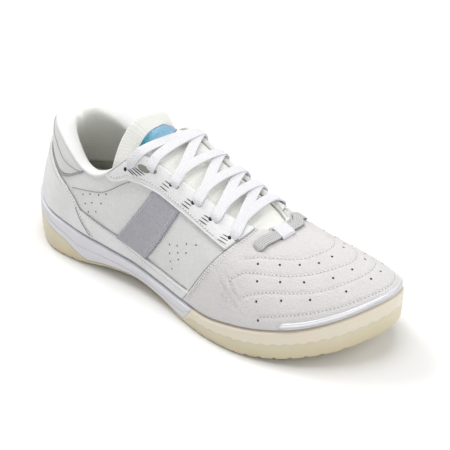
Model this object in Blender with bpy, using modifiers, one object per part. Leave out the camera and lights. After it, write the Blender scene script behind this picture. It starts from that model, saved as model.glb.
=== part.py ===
"""Indoor soccer shoe, the right one of a pair, standing on a flat floor.

+X runs from heel to toe, the outer side of the foot lies at -Y, +Z is up, and the origin is
on the floor under the middle of the shoe.  Every curved piece comes from one table of sections
that goes round the shoe from the heel to the toe: a section has its place on the sole's outline,
its place on the top edge of the upper, and the wall between them.  Table lengths are shares of
the driving sizes.
"""
import bpy
import bmesh
import math
import numpy as np

# Driving sizes of the sole, in metres
LENGTH = 0.290
BALL_WIDTH = 0.109
SIDE_HEIGHT = 0.022
TOE_SPRING = 0.0220
GUM_LAYER = 0.0036
SOLE_GROOVE = 0.0007
LUG_PITCH = 0.0088
LUG_SLOT = 0.0020
LUG_DEPTH = 0.0016

# Driving sizes of the upper and what lies on it
COLLAR_HEIGHT = 0.090
WALL = 0.0020
SET_IN = 0.0030
PANEL = 0.0009
STAY = 0.0016
BAND = 0.0006
GUARD = 0.0014
PAD = 0.0090
PAD_CREST = 0.0040
PAD_END = 5.35
TONGUE = 0.0045
INSOLE = 0.0030
LACE_WIDTH = 0.0070
LACE = 0.0012
STRAP_WIDTH = 0.0062
STRAP = 0.0011
TAB_WIDTH = 0.0075
LAID = 0.0006
GAP = 0.0003

# One row for each section.  foot: the sole's outline.  lift: its bottom edge over the floor, as
# a share of TOE_SPRING.  side: the sole's side, as a share of SIDE_HEIGHT.  tuck: how far the
# bottom edge is drawn in.  edge: the upper's top edge.  rise and bulge: how high and how far out
# the wall is led at its foot.  turn and up: where the wall turns over, as shares of the way from
# foot to edge.  The words out and in tell the outer side of the foot from the inner one.
COLUMNS = ("foot_x", "foot_out", "foot_in", "lift", "side", "tuck",
           "edge_x", "edge_out", "edge_in", "high_out", "high_in",
           "rise", "bulge", "turn_out", "turn_in", "up_out", "up_in")
SECTIONS = np.array((
    (0.000, 0.000, 0.000, 0.12, 1.46, 0.012, 0.059, 0.000, 0.000, 1.000, 1.005, 0.22, 0.000, 0.70, 0.70, 0.75, 0.75),
    (0.016, 0.142, 0.142, 0.08, 1.48, 0.010, 0.071, 0.101, 0.101, 1.006, 1.025, 0.22, 0.000, 0.78, 0.65, 0.75, 0.75),
    (0.052, 0.257, 0.248, 0.02, 1.42, 0.006, 0.103, 0.188, 0.183, 0.978, 1.020, 0.24, 0.000, 0.78, 0.60, 0.75, 0.75),
    (0.114, 0.343, 0.321, 0.00, 1.33, 0.004, 0.155, 0.248, 0.239, 0.878, 0.950, 0.28, 0.000, 0.60, 0.45, 0.75, 0.75),
    (0.200, 0.366, 0.349, 0.00, 1.14, 0.016, 0.214, 0.284, 0.266, 0.783, 0.835, 0.34, 0.008, 0.25, 0.25, 0.75, 0.75),
    (0.293, 0.358, 0.321, 0.13, 0.82, 0.044, 0.276, 0.294, 0.270, 0.811, 0.836, 0.36, 0.014, 0.16, 0.16, 0.76, 0.76),
    (0.379, 0.358, 0.298, 0.18, 0.64, 0.053, 0.359, 0.225, 0.215, 1.045, 1.050, 0.36, 0.012, 0.25, 0.25, 0.80, 0.80),
    (0.466, 0.390, 0.307, 0.10, 0.60, 0.037, 0.403, 0.202, 0.198, 1.035, 1.055, 0.36, 0.006, 0.35, 0.50, 0.80, 0.74),
    (0.552, 0.445, 0.358, 0.00, 0.67, 0.014, 0.466, 0.188, 0.193, 0.972, 0.965, 0.34, 0.003, 0.45, 0.62, 0.80, 0.70),
    (0.638, 0.490, 0.425, 0.00, 0.68, 0.004, 0.531, 0.174, 0.188, 0.894, 0.885, 0.32, 0.000, 0.50, 0.70, 0.80, 0.66),
    (0.724, 0.499, 0.482, 0.00, 0.86, 0.004, 0.590, 0.160, 0.184, 0.817, 0.815, 0.30, 0.000, 0.50, 0.72, 0.78, 0.68),
    (0.803, 0.454, 0.482, 0.11, 0.92, 0.006, 0.641, 0.133, 0.165, 0.761, 0.763, 0.30, 0.000, 0.48, 0.70, 0.78, 0.74),
    (0.876, 0.366, 0.436, 0.32, 0.95, 0.008, 0.678, 0.087, 0.132, 0.736, 0.731, 0.30, 0.000, 0.42, 0.60, 0.75, 0.72),
    (0.938, 0.232, 0.345, 0.56, 1.03, 0.010, 0.697, 0.037, 0.095, 0.733, 0.733, 0.31, 0.000, 0.36, 0.45, 0.72, 0.66),
    (0.983, 0.070, 0.214, 0.84, 1.06, 0.012, 0.704, -0.005, 0.062, 0.736, 0.736, 0.33, 0.000, 0.32, 0.36, 0.70, 0.68),
    (1.000, -0.069, 0.069, 1.00, 1.02, 0.014, 0.705, -0.033, 0.033, 0.737, 0.737, 0.35, 0.000, 0.30, 0.30, 0.67, 0.67),
))
TOE = len(SECTIONS) - 1
ROUND = 2 * TOE
STEPS = 3

# The sole's side from its bottom edge up: share of its height, and how far it stands in
SIDE_STEPS = ((0.00, 0.0016), (0.08, 0.0003), (0.46, 0.0), (0.50, SOLE_GROOVE), (0.54, 0.0),
              (0.93, 0.0), (1.00, 0.0007))

# The side view of the white midsole, a wedge in the gum: share of LENGTH, and height over the
# sole's bottom as a share of SIDE_HEIGHT, from the heel's back down to the floor layer
WEDGE_HEEL = ((-0.02, 1.05), (0.045, 1.00), (0.105, 0.70), (0.165, 0.50), (0.235, 0.0))
WEDGE_FRONT = (0.563, 0.592)

# The lace holes: section and height on the wall, and the section where the lace leaves the throat's
# edge.  The last row is the run to the top corner, whose end is tucked in.
EYELETS = ((10.10, 0.80, 10.75), (9.35, 0.85, 9.80), (8.65, 0.88, 8.95), (7.75, 0.90, 8.00),
           (6.70, 0.92, 6.95), (5.95, 0.93, 6.15))

# The seam where the vamp ends: section at the foot, and what height and its cube add
VAMP_SEAM = (8.0, 2.2, 1.5)
SEAM_GAP = 0.06

# The strap over the throat's foot: section, and height on the wall
STRAP_PATH = np.array(((11.2, 0.80), (12.0, 0.92), (13.6, 0.985), (16.2, 0.985), (17.9, 0.93),
                       (19.0, 0.72)))

# The free end of the tongue, a row at a time.  Middle: x, height, how far it leans to the outer
# side.  Then outer and inner side: half width, how far the border lies back, how far it hangs
TONGUE_TIP = ((0.3665, 1.175, 0.006, 0.208, 0.204, 0.014, 0.010, 0.26, 0.24),
              (0.3590, 1.228, 0.012, 0.208, 0.196, 0.038, 0.016, 0.34, 0.27),
              (0.3530, 1.262, 0.017, 0.202, 0.184, 0.060, 0.019, 0.42, 0.29),
              (0.3490, 1.276, 0.020, 0.195, 0.165, 0.078, 0.020, 0.48, 0.31))
TONGUE_ARCH = 0.50
LACE_ARCH = 0.46


def ring_column(name):
    """A column carried round the whole shoe: heel, outer side, toe, inner side."""
    if name in ("foot_y", "edge_y"):
        outer = -SECTIONS[:, COLUMNS.index(name[:4] + "_out")]
        inner = SECTIONS[:, COLUMNS.index(name[:4] + "_in")]
    elif name in ("high", "turn", "up"):
        outer = SECTIONS[:, COLUMNS.index(name + "_out")]
        inner = SECTIONS[:, COLUMNS.index(name + "_in")]
    else:
        outer = SECTIONS[:, COLUMNS.index(name)]
        inner = outer
    return np.concatenate((outer, inner[-2:0:-1]))


def around(name, ring):
    """A column between its rows: a closed Catmull-Rom curve through them."""
    rows = ring_column(name)
    ring = np.asarray(ring, float)
    first = np.floor(ring).astype(int)
    t = ring - first
    p0, p1, p2, p3 = (rows[(first + step) % ROUND] for step in (-1, 0, 1, 2))
    return 0.5 * (2 * p1 + (p2 - p0) * t + (2 * p0 - 5 * p1 + 4 * p2 - p3) * t ** 2
                  + (3 * p1 - p0 - 3 * p2 + p3) * t ** 3)


def bottom_height(ring):
    """The sole's bottom edge over the floor: flat under heel and ball."""
    return TOE_SPRING * np.maximum(around("lift", ring), 0.0)


def feather_height(ring):
    """The top of the sole's side, where the upper stands on it."""
    return bottom_height(ring) + SIDE_HEIGHT * around("side", ring)


def outline(ring, inset):
    """The sole's outline in plan, drawn in by inset along its own normal."""
    step = 0.05
    x, y = LENGTH * around("foot_x", ring), BALL_WIDTH * around("foot_y", ring)
    dx = LENGTH * (around("foot_x", ring + step) - around("foot_x", ring - step))
    dy = BALL_WIDTH * (around("foot_y", ring + step) - around("foot_y", ring - step))
    size = np.hypot(dx, dy)
    return x - dy / size * inset, y + dx / size * inset


def wall(ring, height):
    """The outer surface of the upper: a cubic from the feather line (height 0) to the edge (1)."""
    ring, height = np.broadcast_arrays(np.asarray(ring, float), np.asarray(height, float))
    foot = np.stack((*outline(ring, SET_IN), feather_height(ring) + LAID), axis=-1)
    edge = np.stack((LENGTH * around("edge_x", ring), BALL_WIDTH * around("edge_y", ring),
                     COLLAR_HEIGHT * around("high", ring)), axis=-1)
    tall = edge[..., 2] - foot[..., 2]
    led = np.stack((*outline(ring, SET_IN - BALL_WIDTH * around("bulge", ring)),
                    foot[..., 2] + tall * around("rise", ring)), axis=-1)
    inward = around("turn", ring)[..., None]
    turn = foot + inward * (edge - foot)
    turn[..., 2] = foot[..., 2] + tall * around("up", ring)
    t = height[..., None]
    return ((1 - t) ** 3 * foot + 3 * (1 - t) ** 2 * t * led + 3 * (1 - t) * t ** 2 * turn
            + t ** 3 * edge)


def wall_normal(ring, height):
    """The wall's outward normal, from small steps round the shoe and up the wall."""
    step = 0.02
    along = wall(ring + step, height) - wall(ring - step, height)
    up = wall(ring, height + step) - wall(ring, height - step)
    normal = np.cross(along, up)
    return normal / np.linalg.norm(normal, axis=-1, keepdims=True)


def beside(ring, height, out):
    """A point out from the wall, or inside it where out is negative."""
    ring, height = np.broadcast_arrays(np.asarray(ring, float), np.asarray(height, float))
    out = np.broadcast_to(np.asarray(out, float), ring.shape)
    return wall(ring, height) + out[..., None] * wall_normal(ring, height)


def opposite(ring):
    """The same section on the inner side of the foot."""
    return ROUND - ring


def shift_to_origin(points):
    """From the heel's corner to the middle of the sole, so that the origin is under its box."""
    ring = np.linspace(0, ROUND, 60 * ROUND, endpoint=False)
    x, y = outline(ring, 0.0)
    middle = np.array(((x.min() + x.max()) / 2, (y.min() + y.max()) / 2, 0.0))
    return points - middle


def new_material(name, colour, roughness, coat=0.0):
    material = bpy.data.materials.new(name)
    material.use_nodes = True
    shader = material.node_tree.nodes["Principled BSDF"]
    shader.inputs["Base Color"].default_value = (*colour, 1.0)
    shader.inputs["Roughness"].default_value = roughness
    shader.inputs["Coat Weight"].default_value = coat
    material.diffuse_color = (*colour, 1.0)
    return material


def new_object(name, points, faces, collection, material):
    """An object from points in the shoe's own frame, with its faces turned outwards."""
    mesh = bpy.data.meshes.new(name)
    mesh.from_pydata(shift_to_origin(np.reshape(points, (-1, 3))).tolist(), [], faces)
    shape = bmesh.new()
    shape.from_mesh(mesh)
    bmesh.ops.recalc_face_normals(shape, faces=shape.faces)
    shape.to_mesh(mesh)
    shape.free()
    mesh.shade_smooth()
    mesh.set_sharp_from_angle(angle=math.radians(40))
    obj = bpy.data.objects.new(name, mesh)
    obj.data.materials.append(material)
    collection.objects.link(obj)
    return obj


def grid_faces(rows, columns, wrap_rows=False, wrap_columns=False):
    """Four-sided faces of a grid whose points are numbered row by row."""
    faces = []
    for i in range(rows if wrap_rows else rows - 1):
        for j in range(columns if wrap_columns else columns - 1):
            a, b = i * columns, (i + 1) % rows * columns
            k = (j + 1) % columns
            faces.append((a + j, b + j, b + k, a + k))
    return faces


def add_sheet(name, points, thickness, outward, collection, material, wrap=False):
    """An open surface given a wall by Solidify, outwards or inwards."""
    rows, columns = points.shape[:2]
    mesh = bpy.data.meshes.new(name)
    mesh.from_pydata(shift_to_origin(points.reshape(-1, 3)).tolist(), [],
                     grid_faces(rows, columns, wrap_rows=wrap))
    mesh.shade_smooth()
    obj = bpy.data.objects.new(name, mesh)
    obj.data.materials.append(material)
    collection.objects.link(obj)
    solid = obj.modifiers.new("wall", "SOLIDIFY")
    solid.thickness = thickness
    solid.offset = 1.0 if outward else -1.0
    return obj


def add_tube(name, sections, collection, material):
    """A closed section carried along a path, with flat ends."""
    rows, columns = sections.shape[:2]
    faces = grid_faces(rows, columns, wrap_columns=True)
    faces.append(tuple(range(columns)))
    faces.append(tuple(range((rows - 1) * columns, rows * columns)))
    return new_object(name, sections, faces, collection, material)


def ring_loft(name, levels, collection, material):
    """A solid from closed rings, lowest first, its two ends filled by strips from side to side."""
    count = levels.shape[1]
    half = count // 2
    points = [tuple(point) for point in levels.reshape(-1, 3)]
    faces = grid_faces(levels.shape[0], count, wrap_columns=True)
    for level in (0, levels.shape[0] - 1):
        base = level * count
        middles = []
        for i in range(1, half):
            middle = (levels[level, i] + levels[level, count - i]) / 2
            middles.append(len(points))
            points.append(tuple(middle))
        for i in range(1, half - 1):
            a, b = base + i, base + count - i
            faces.append((a, a + 1, middles[i], middles[i - 1]))
            faces.append((b, middles[i - 1], middles[i], b - 1))
        for end, near, middle in ((0, 1, middles[0]), (half, half - 1, middles[-1])):
            faces.append((base + end, base + near, middle))
            faces.append((base + end, middle, base + (count - near) % count))
    return new_object(name, np.array(points), faces, collection, material)


def apply_modifiers(obj):
    """The object's evaluated mesh takes the place of its own."""
    mesh = bpy.data.meshes.new_from_object(obj.evaluated_get(bpy.context.evaluated_depsgraph_get()))
    obj.modifiers.clear()
    obj.data = mesh


def boolean(obj, cutter, operation):
    """A Boolean that is applied, so that its cutter can go."""
    step = obj.modifiers.new(operation.lower(), "BOOLEAN")
    step.operation = operation
    step.object = cutter
    step.solver = "EXACT"
    bpy.context.view_layer.update()
    apply_modifiers(obj)


def drop(obj):
    bpy.data.objects.remove(obj, do_unlink=True)


def sole_rings():
    """The whole sole before it is divided: its side levels round the outline."""
    ring = np.arange(ROUND * STEPS) / STEPS
    levels = []
    for share, inset in SIDE_STEPS:
        tuck = BALL_WIDTH * around("tuck", ring) * (1 - share) ** 2
        x, y = outline(ring, inset + tuck)
        levels.append(np.stack((x, y, bottom_height(ring)
                                + share * SIDE_HEIGHT * around("side", ring)), axis=-1))
    return np.array(levels)


def wedge_outline(clearance):
    """The midsole's side view, with its lower faces moved by clearance."""
    ring = np.linspace(4.6, 7.9, 12)
    floor = [(LENGTH * x, z) for x, z in zip(around("foot_x", ring),
                                             bottom_height(ring) + GUM_LAYER + clearance)]
    heel = [(LENGTH * x, GUM_LAYER + clearance + SIDE_HEIGHT * z) for x, z in WEDGE_HEEL]
    low, high = (LENGTH * share - clearance for share in WEDGE_FRONT)
    top = feather_height(0.0) + SIDE_HEIGHT
    front = [(low, GUM_LAYER + clearance), (high, feather_height(8.5)), (high, top)]
    return heel + floor + front + [(heel[0][0], top)]


def add_prism(name, side_view, width, collection, material):
    """A side view carried straight across the shoe."""
    count = len(side_view)
    points = [(x, y, z) for y in (-width, width) for x, z in side_view]
    faces = [(i, (i + 1) % count, count + (i + 1) % count, count + i) for i in range(count)]
    faces += [tuple(range(count)), tuple(range(count, 2 * count))]
    return new_object(name, np.array(points), faces, collection, material)


def add_lug_slots(collection, material):
    """Slots straight across the tread, square to its slope, joined in one cutter."""
    points, faces = [], []
    starts = ((0.035 * LENGTH, 0.235 * LENGTH), (0.575 * LENGTH, 0.965 * LENGTH))
    rings = np.linspace(0, TOE, 400)
    xs = LENGTH * around("foot_x", rings)
    zs = bottom_height(rings)
    for start, stop in starts:
        for x in np.arange(start, stop, LUG_PITCH):
            z = np.interp(x, xs, zs)
            slope = math.atan2(np.interp(x + LUG_SLOT, xs, zs) - z, LUG_SLOT)
            base = len(points)
            for side in (-BALL_WIDTH, BALL_WIDTH):
                for across, up in ((-1, -1), (1, -1), (1, 1), (-1, 1)):
                    along, over = across * LUG_SLOT / 2, up * LUG_DEPTH
                    points.append((x + along * math.cos(slope) - over * math.sin(slope), side,
                                   z + along * math.sin(slope) + over * math.cos(slope)))
            faces += [(base, base + 1, base + 2, base + 3), (base + 4, base + 5, base + 6, base + 7)]
            faces += [(base + i, base + (i + 1) % 4, base + 4 + (i + 1) % 4, base + 4 + i)
                      for i in range(4)]
    return new_object("lug_slots", np.array(points), faces, collection, material)


def add_sole(collection, cutters, gum, foam):
    """Outsole of gum rubber and midsole of white foam, cut from one sole shape."""
    rings = sole_rings()
    outsole = ring_loft("outsole", rings, collection, gum)
    midsole = ring_loft("midsole", rings, collection, foam)
    hollow = add_prism("midsole_room", wedge_outline(0.0), BALL_WIDTH, cutters, foam)
    body = add_prism("midsole_body", wedge_outline(GAP), BALL_WIDTH, cutters, foam)
    slots = add_lug_slots(cutters, gum)
    boolean(outsole, hollow, "DIFFERENCE")
    boolean(outsole, slots, "DIFFERENCE")
    boolean(midsole, body, "INTERSECT")
    for cutter in (hollow, body, slots):
        drop(cutter)


def add_upper(collection, leather):
    """One hollow wall, open at the collar, along the throat and underneath."""
    ring = np.arange(ROUND * STEPS) / STEPS
    height = np.linspace(0, 1, 8)
    points = wall(ring[:, None], height[None, :])
    return add_sheet("upper", points, WALL, False, collection, leather, wrap=True)


def wall_patch(rear, front, low, high, size, out, turn=None):
    """A patch of the wall.  The section runs from rear to front, which are functions of the share
    of the way up, and the height from low to high, functions of the share of the way along."""
    along = np.linspace(0, 1, size[0])[:, None]
    up = np.linspace(0, 1, size[1])[None, :]
    section = rear(up) + (front(up) - rear(up)) * along
    height = low(along) + (high(along) - low(along)) * up
    if turn is None:
        return beside(section, height, out)
    return beside(turn(section), height, out)[::-1]


def line(start, stop, rise=0.0):
    """From start to stop as a share goes from 0 to 1, with a hump of rise in its middle."""
    return lambda share: start + (stop - start) * share + rise * 4 * share * (1 - share)


def vamp_seam(low, high, gap=0.0):
    """The section of the vamp's rear seam for a share of the way up from low to high."""
    first, slope, bend = VAMP_SEAM

    def section(share):
        height = low + (high - low) * share
        return first + slope * height + bend * height ** 3 + gap
    return section


def add_panels(collection, leather, suede, gloss, grey):
    """What is laid on the wall, cut from its own function."""
    low, high = 0.02, 0.985
    seam = vamp_seam(low, high)
    vamp = wall_patch(seam, lambda share: ROUND - seam(share), line(low, low), line(high, high),
                      (29, 8), LAID)
    add_sheet("vamp", vamp, PANEL, True, collection, suede)
    guard = wall_patch(line(11.35, 11.35), line(ROUND - 11.35, ROUND - 11.35), line(0.03, 0.03),
                       line(0.15, 0.15), (27, 3), LAID + PANEL + GAP)
    add_sheet("toe_guard", guard, GUARD, True, collection, gloss)
    counter = wall_patch(line(-4.6, -3.1, 0.15), line(4.6, 3.1, -0.15), line(low, low),
                         line(0.55, 0.55, 0.25), (25, 6), LAID)
    add_sheet("heel_counter", counter, PANEL, True, collection, leather)
    for side, turn in (("lateral", None), ("medial", opposite)):
        foxing = wall_patch(line(4.65, 4.35), vamp_seam(low, 0.14, -SEAM_GAP), line(low, low),
                            line(0.26, 0.14, -0.03), (13, 3), LAID, turn)
        add_sheet("foxing_" + side, foxing, PANEL, True, collection, leather)
        stay = wall_patch(line(5.65, 5.25), vamp_seam(0.68, 0.99, -SEAM_GAP), line(0.74, 0.68, 0.04),
                          line(0.99, 0.99), (21, 5), LAID, turn)
        add_sheet("eyestay_" + side, stay, STAY, True, collection, leather)
        band = wall_patch(line(5.40, 6.95), line(6.65, 8.20), line(0.22, 0.185),
                          line(0.73, 0.70), (8, 5), LAID, turn)
        add_sheet("side_band_" + side, band, BAND, True, collection, grey)


def add_collar_pad(collection, lining):
    """The padded roll inside the collar, over the wall's edge, round the heel."""
    place = np.linspace(-PAD_END, PAD_END, 35)
    ring = np.where(place < 0, place + ROUND, place)
    nearness = np.abs(place) / PAD_END
    thick = PAD * (1 - 0.66 * nearness ** 1.5)
    inner = -(WALL + GAP)
    edge = wall(ring, 1.0)
    out = wall_normal(ring, 1.0)
    up = wall(ring, 1.0) - wall(ring, 0.97)
    up = up / np.linalg.norm(up, axis=-1, keepdims=True)

    def crest(outward, upward):
        return edge + outward[:, None] * out + upward[:, None] * up

    one = np.ones_like(thick)
    depth = 1 - nearness ** 3 * 0.5
    sections = (
        beside(ring, 1 - 0.32 * depth, inner * one),
        beside(ring, 1 - 0.20 * depth, inner * one),
        beside(ring, 1 - 0.08 * depth, inner * one),
        crest(inner * one, 0.0008 * one),
        crest(0.0008 * one, 0.0008 * one),
        crest(0.0006 * one, PAD_CREST * 0.6 * one),
        crest(inner - 0.35 * thick, PAD_CREST * one),
        crest(inner - 0.9 * thick, PAD_CREST * 0.5 * one),
        beside(ring, 1 - 0.10 * depth, inner - thick),
        beside(ring, 1 - 0.24 * depth, inner - 0.85 * thick),
        beside(ring, 1 - 0.31 * depth, inner - 0.35 * thick),
    )
    return add_tube("collar_pad", np.stack(sections, axis=1), collection, lining)


def unit(vector):
    return vector / np.linalg.norm(vector, axis=-1, keepdims=True)


def arch(start, rising, stop, falling, puff, count):
    """From one side of the throat to the other: a cubic that leaves each side along its own
    direction, pulled by puff times the span."""
    t = np.linspace(0, 1, count)[:, None]
    pull = puff * np.linalg.norm(stop - start)
    return ((2 * t ** 3 - 3 * t ** 2 + 1) * start + (t ** 3 - 2 * t ** 2 + t) * pull * rising
            + (3 * t ** 2 - 2 * t ** 3) * stop - (t ** 3 - t ** 2) * pull * falling)


def tongue_rows():
    """Cross rows of the tongue's upper face: wings under the throat's edges with an arch between
    them, then the free end."""
    inner = -(WALL + 1.5 * GAP)
    rows = []
    for section in np.linspace(14.0, 6.75, 11):
        sides = []
        for ring in (section, opposite(section)):
            wing = beside(ring, np.array((0.80, 0.90, 0.96, 1.0)), inner)
            sides.append((wing[:2], wing[3], unit(wing[3] - wing[2])))
        (near, start, rising), (far, stop, falling) = sides
        rows.append(np.vstack((near, arch(start, rising, stop, falling, TONGUE_ARCH, 9), far[::-1])))
    share = np.linspace(-1, 1, 13)
    off = np.abs(share)
    for x, high, lean, *sides in TONGUE_TIP:
        half, back, hang = (np.where(share < 0, *pair) for pair in zip(sides[::2], sides[1::2]))
        rows.append(np.stack((LENGTH * (x - back * off ** 1.5), BALL_WIDTH * (half * share - lean),
                              COLLAR_HEIGHT * (high - hang * off ** 2.2)), axis=-1))
    return np.array(rows)


def add_tongue(collection, cloth, sheen):
    """The tongue lies inside the throat and stands up free behind its top, with a plain lens
    shaped patch across it."""
    rows = tongue_rows()
    add_sheet("tongue", rows, TONGUE, True, collection, cloth)
    share_across = np.linspace(0, 1, 13)
    across = 1.5 + 7.6 * share_across
    lens = np.maximum(np.sin(math.pi * share_across), 0) ** 0.7 * 0.55 + 0.07
    patch = []
    for share in np.linspace(-1, 1, 5):
        place = 11.1 + 1.35 * (1 - share_across) ** 3 + share * lens
        patch.append(tongue_point(rows, place, across, 2 * LAID))
    add_sheet("tongue_patch", np.array(patch), 2 * GAP, False, collection, sheen)


def tongue_point(rows, along, across, out):
    """A point over the tongue's grid, read between its rows and columns."""
    i = np.clip(np.floor(along).astype(int), 0, rows.shape[0] - 2)
    j = np.clip(np.floor(across).astype(int), 0, rows.shape[1] - 2)
    s, t = (along - i)[:, None], (across - j)[:, None]
    low = rows[i, j] * (1 - t) + rows[i, j + 1] * t
    high = rows[i + 1, j] * (1 - t) + rows[i + 1, j + 1] * t
    side = (rows[i, j + 1] - rows[i, j]) * (1 - s) + (rows[i + 1, j + 1] - rows[i + 1, j]) * s
    return low * (1 - s) + high * s + out * unit(np.cross(side, high - low))


def add_insole(collection, cloth):
    """A footbed on the sole, inside the foot of the upper."""
    ring = np.arange(ROUND * 2) / 2
    x, y = outline(ring, SET_IN + WALL + 0.0045)
    low = feather_height(ring) + 2 * LAID
    levels = [np.stack((x, y, low + step), axis=-1) for step in (0.0, INSOLE)]
    return ring_loft("insole", np.array(levels), collection, cloth)


def throat_axis():
    """Down the throat, from its top to its foot."""
    top = (wall(6.0, 1.0) + wall(opposite(6.0), 1.0)) / 2
    foot = (wall(12.0, 1.0) + wall(opposite(12.0), 1.0)) / 2
    return unit(foot - top)


def ribbon(path, normal, width, thickness):
    """Rectangular sections along a path, half the width to each side, thickness up the normal."""
    across = unit(np.cross(normal, np.gradient(path, axis=0))) * width / 2
    up = normal * thickness
    return np.stack((path - across, path + across, path + across + up, path - across + up), axis=1)


def lace_path(start, stop, over):
    """From a lace hole on the outer side over the tongue to one on the inner side."""
    sides = []
    for (section, height, leave), turn in ((start, lambda ring: ring), (stop, opposite)):
        share = np.array((0.0, 0.5, 1.0))
        points = beside(turn(section + (leave - section) * share), height + (1 - height) * share,
                        over)
        sides.append((points, unit(points[2] - points[1])))
    (near, rising), (far, falling) = sides
    middle = arch(near[2], rising, far[2], falling, LACE_ARCH, 7)
    return np.vstack((near[:2], middle, far[1::-1]))


def add_laces(collection, cord):
    """Straight bars over the tongue and slanted runs between them, joined in one solid."""
    over = LAID + STAY + 2 * GAP
    runs = [(hole, hole) for hole in EYELETS[:-1]]
    runs += list(zip(EYELETS[:-2], EYELETS[1:-1]))
    runs.append((EYELETS[-1], EYELETS[-2]))
    laces = None
    for start, stop in runs:
        path = lace_path(start, stop, over)
        normal = unit(np.cross(throat_axis(), np.gradient(path, axis=0)))
        run = add_tube("laces", ribbon(path, normal, LACE_WIDTH, LACE), collection, cord)
        if laces is None:
            laces = run
        else:
            boolean(laces, run, "UNION")
            drop(run)
    return laces


def add_strap(collection, webbing, tape):
    """A ribbed strap across the foot of the throat, held by a small loop of tape."""
    rows = np.arange(len(STRAP_PATH))
    place = np.linspace(0, rows[-1], 16)
    ring = np.interp(place, rows, STRAP_PATH[:, 0])
    height = np.interp(place, rows, STRAP_PATH[:, 1])
    over = LAID + PANEL + GAP
    path = beside(ring, height, over + GAP)
    for step in range(2):
        path[1:-1] = (path[:-2] + 2 * path[1:-1] + path[2:]) / 4
    add_tube("webbing_strap", ribbon(path, wall_normal(ring, height), STRAP_WIDTH, STRAP),
             collection, webbing)
    height = np.linspace(1.035, 0.93, 9)
    raised = np.clip(4.2 * np.sin(np.linspace(0, math.pi, 9)), 0, 1) * (STRAP + 2 * GAP)
    path = beside(14.9, height, over + raised)
    add_tube("loop_tab", ribbon(path, wall_normal(14.9, height), TAB_WIDTH, LACE),
             collection, tape)


def clear_scene():
    for obj in list(bpy.data.objects):
        bpy.data.objects.remove(obj, do_unlink=True)


def main():
    clear_scene()
    shoe = bpy.data.collections.new("indoor_soccer_shoe")
    cutters = bpy.data.collections.new("cutters")
    for collection in (shoe, cutters):
        bpy.context.scene.collection.children.link(collection)
    gum = new_material("gum_rubber", (0.83, 0.74, 0.55), 0.45)
    foam = new_material("white_foam", (0.86, 0.86, 0.88), 0.5)
    leather = new_material("white_leather", (0.87, 0.87, 0.86), 0.42)
    suede = new_material("white_suede", (0.82, 0.81, 0.81), 0.85)
    gloss = new_material("gloss_white", (0.90, 0.90, 0.93), 0.2, 0.4)
    grey = new_material("grey_leather", (0.62, 0.62, 0.66), 0.5)
    lining = new_material("cream_lining", (0.83, 0.83, 0.78), 0.9)
    cord = new_material("white_lace", (0.93, 0.93, 0.95), 0.8)
    sheen = new_material("blue_sheen", (0.30, 0.62, 0.78), 0.35)
    webbing = new_material("grey_webbing", (0.66, 0.66, 0.67), 0.7)
    add_sole(shoe, cutters, gum, foam)
    add_upper(shoe, leather)
    add_panels(shoe, leather, suede, gloss, grey)
    add_collar_pad(shoe, lining)
    add_tongue(shoe, lining, sheen)
    add_insole(shoe, lining)
    add_laces(shoe, cord)
    add_strap(shoe, webbing, cord)


if __name__ == "__main__":
    main()
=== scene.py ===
"""Indoor soccer shoe, right foot: the surfaces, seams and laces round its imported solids.

Everything that lies on the upper is worked out from one function, wall(ring, height).  The ring
place runs from 0 at the heel along the outer side to 15 at the toe and back along the inner side,
and height from 0 at the sole to 1 at the upper's top edge.
"""

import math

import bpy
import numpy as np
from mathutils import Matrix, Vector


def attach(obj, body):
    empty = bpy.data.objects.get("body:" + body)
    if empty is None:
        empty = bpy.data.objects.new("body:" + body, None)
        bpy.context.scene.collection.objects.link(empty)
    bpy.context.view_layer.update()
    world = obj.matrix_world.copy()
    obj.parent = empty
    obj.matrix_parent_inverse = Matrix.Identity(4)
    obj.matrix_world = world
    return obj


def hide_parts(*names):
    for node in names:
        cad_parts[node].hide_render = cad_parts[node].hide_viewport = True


bl_info = {
    "name": "Indoor soccer shoe",
    "version": (1, 0, 0),
    "blender": (4, 5, 0),
    "location": "3D View > Sidebar > Shoe",
    "description": "Builds the leather, seams, laces and gum sole of an indoor soccer shoe",
    "category": "Add Mesh",
}

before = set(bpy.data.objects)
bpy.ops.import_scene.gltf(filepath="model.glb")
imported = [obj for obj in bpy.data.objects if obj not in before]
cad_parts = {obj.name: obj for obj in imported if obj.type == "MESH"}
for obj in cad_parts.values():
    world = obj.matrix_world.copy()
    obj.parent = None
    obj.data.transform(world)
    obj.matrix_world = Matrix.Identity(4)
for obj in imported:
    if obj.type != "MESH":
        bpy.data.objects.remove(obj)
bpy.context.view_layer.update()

# Driving sizes, in metres
LENGTH = 0.290
BALL_WIDTH = 0.109
SIDE_HEIGHT = 0.022
TOE_SPRING = 0.0220
GUM_LAYER = 0.0036
LUG_PITCH = 0.0088
LUG_SLOT = 0.0020
LUG_DEPTH = 0.0016
COLLAR_HEIGHT = 0.090
WALL = 0.0020
SET_IN = 0.0030
PANEL = 0.0015
STAY = 0.0022
BAND = 0.0012
GUARD = 0.0032
PAD = 0.0090
PAD_CREST = 0.0040
PAD_END = 5.35
TONGUE = 0.0045
MM = 0.001

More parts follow.
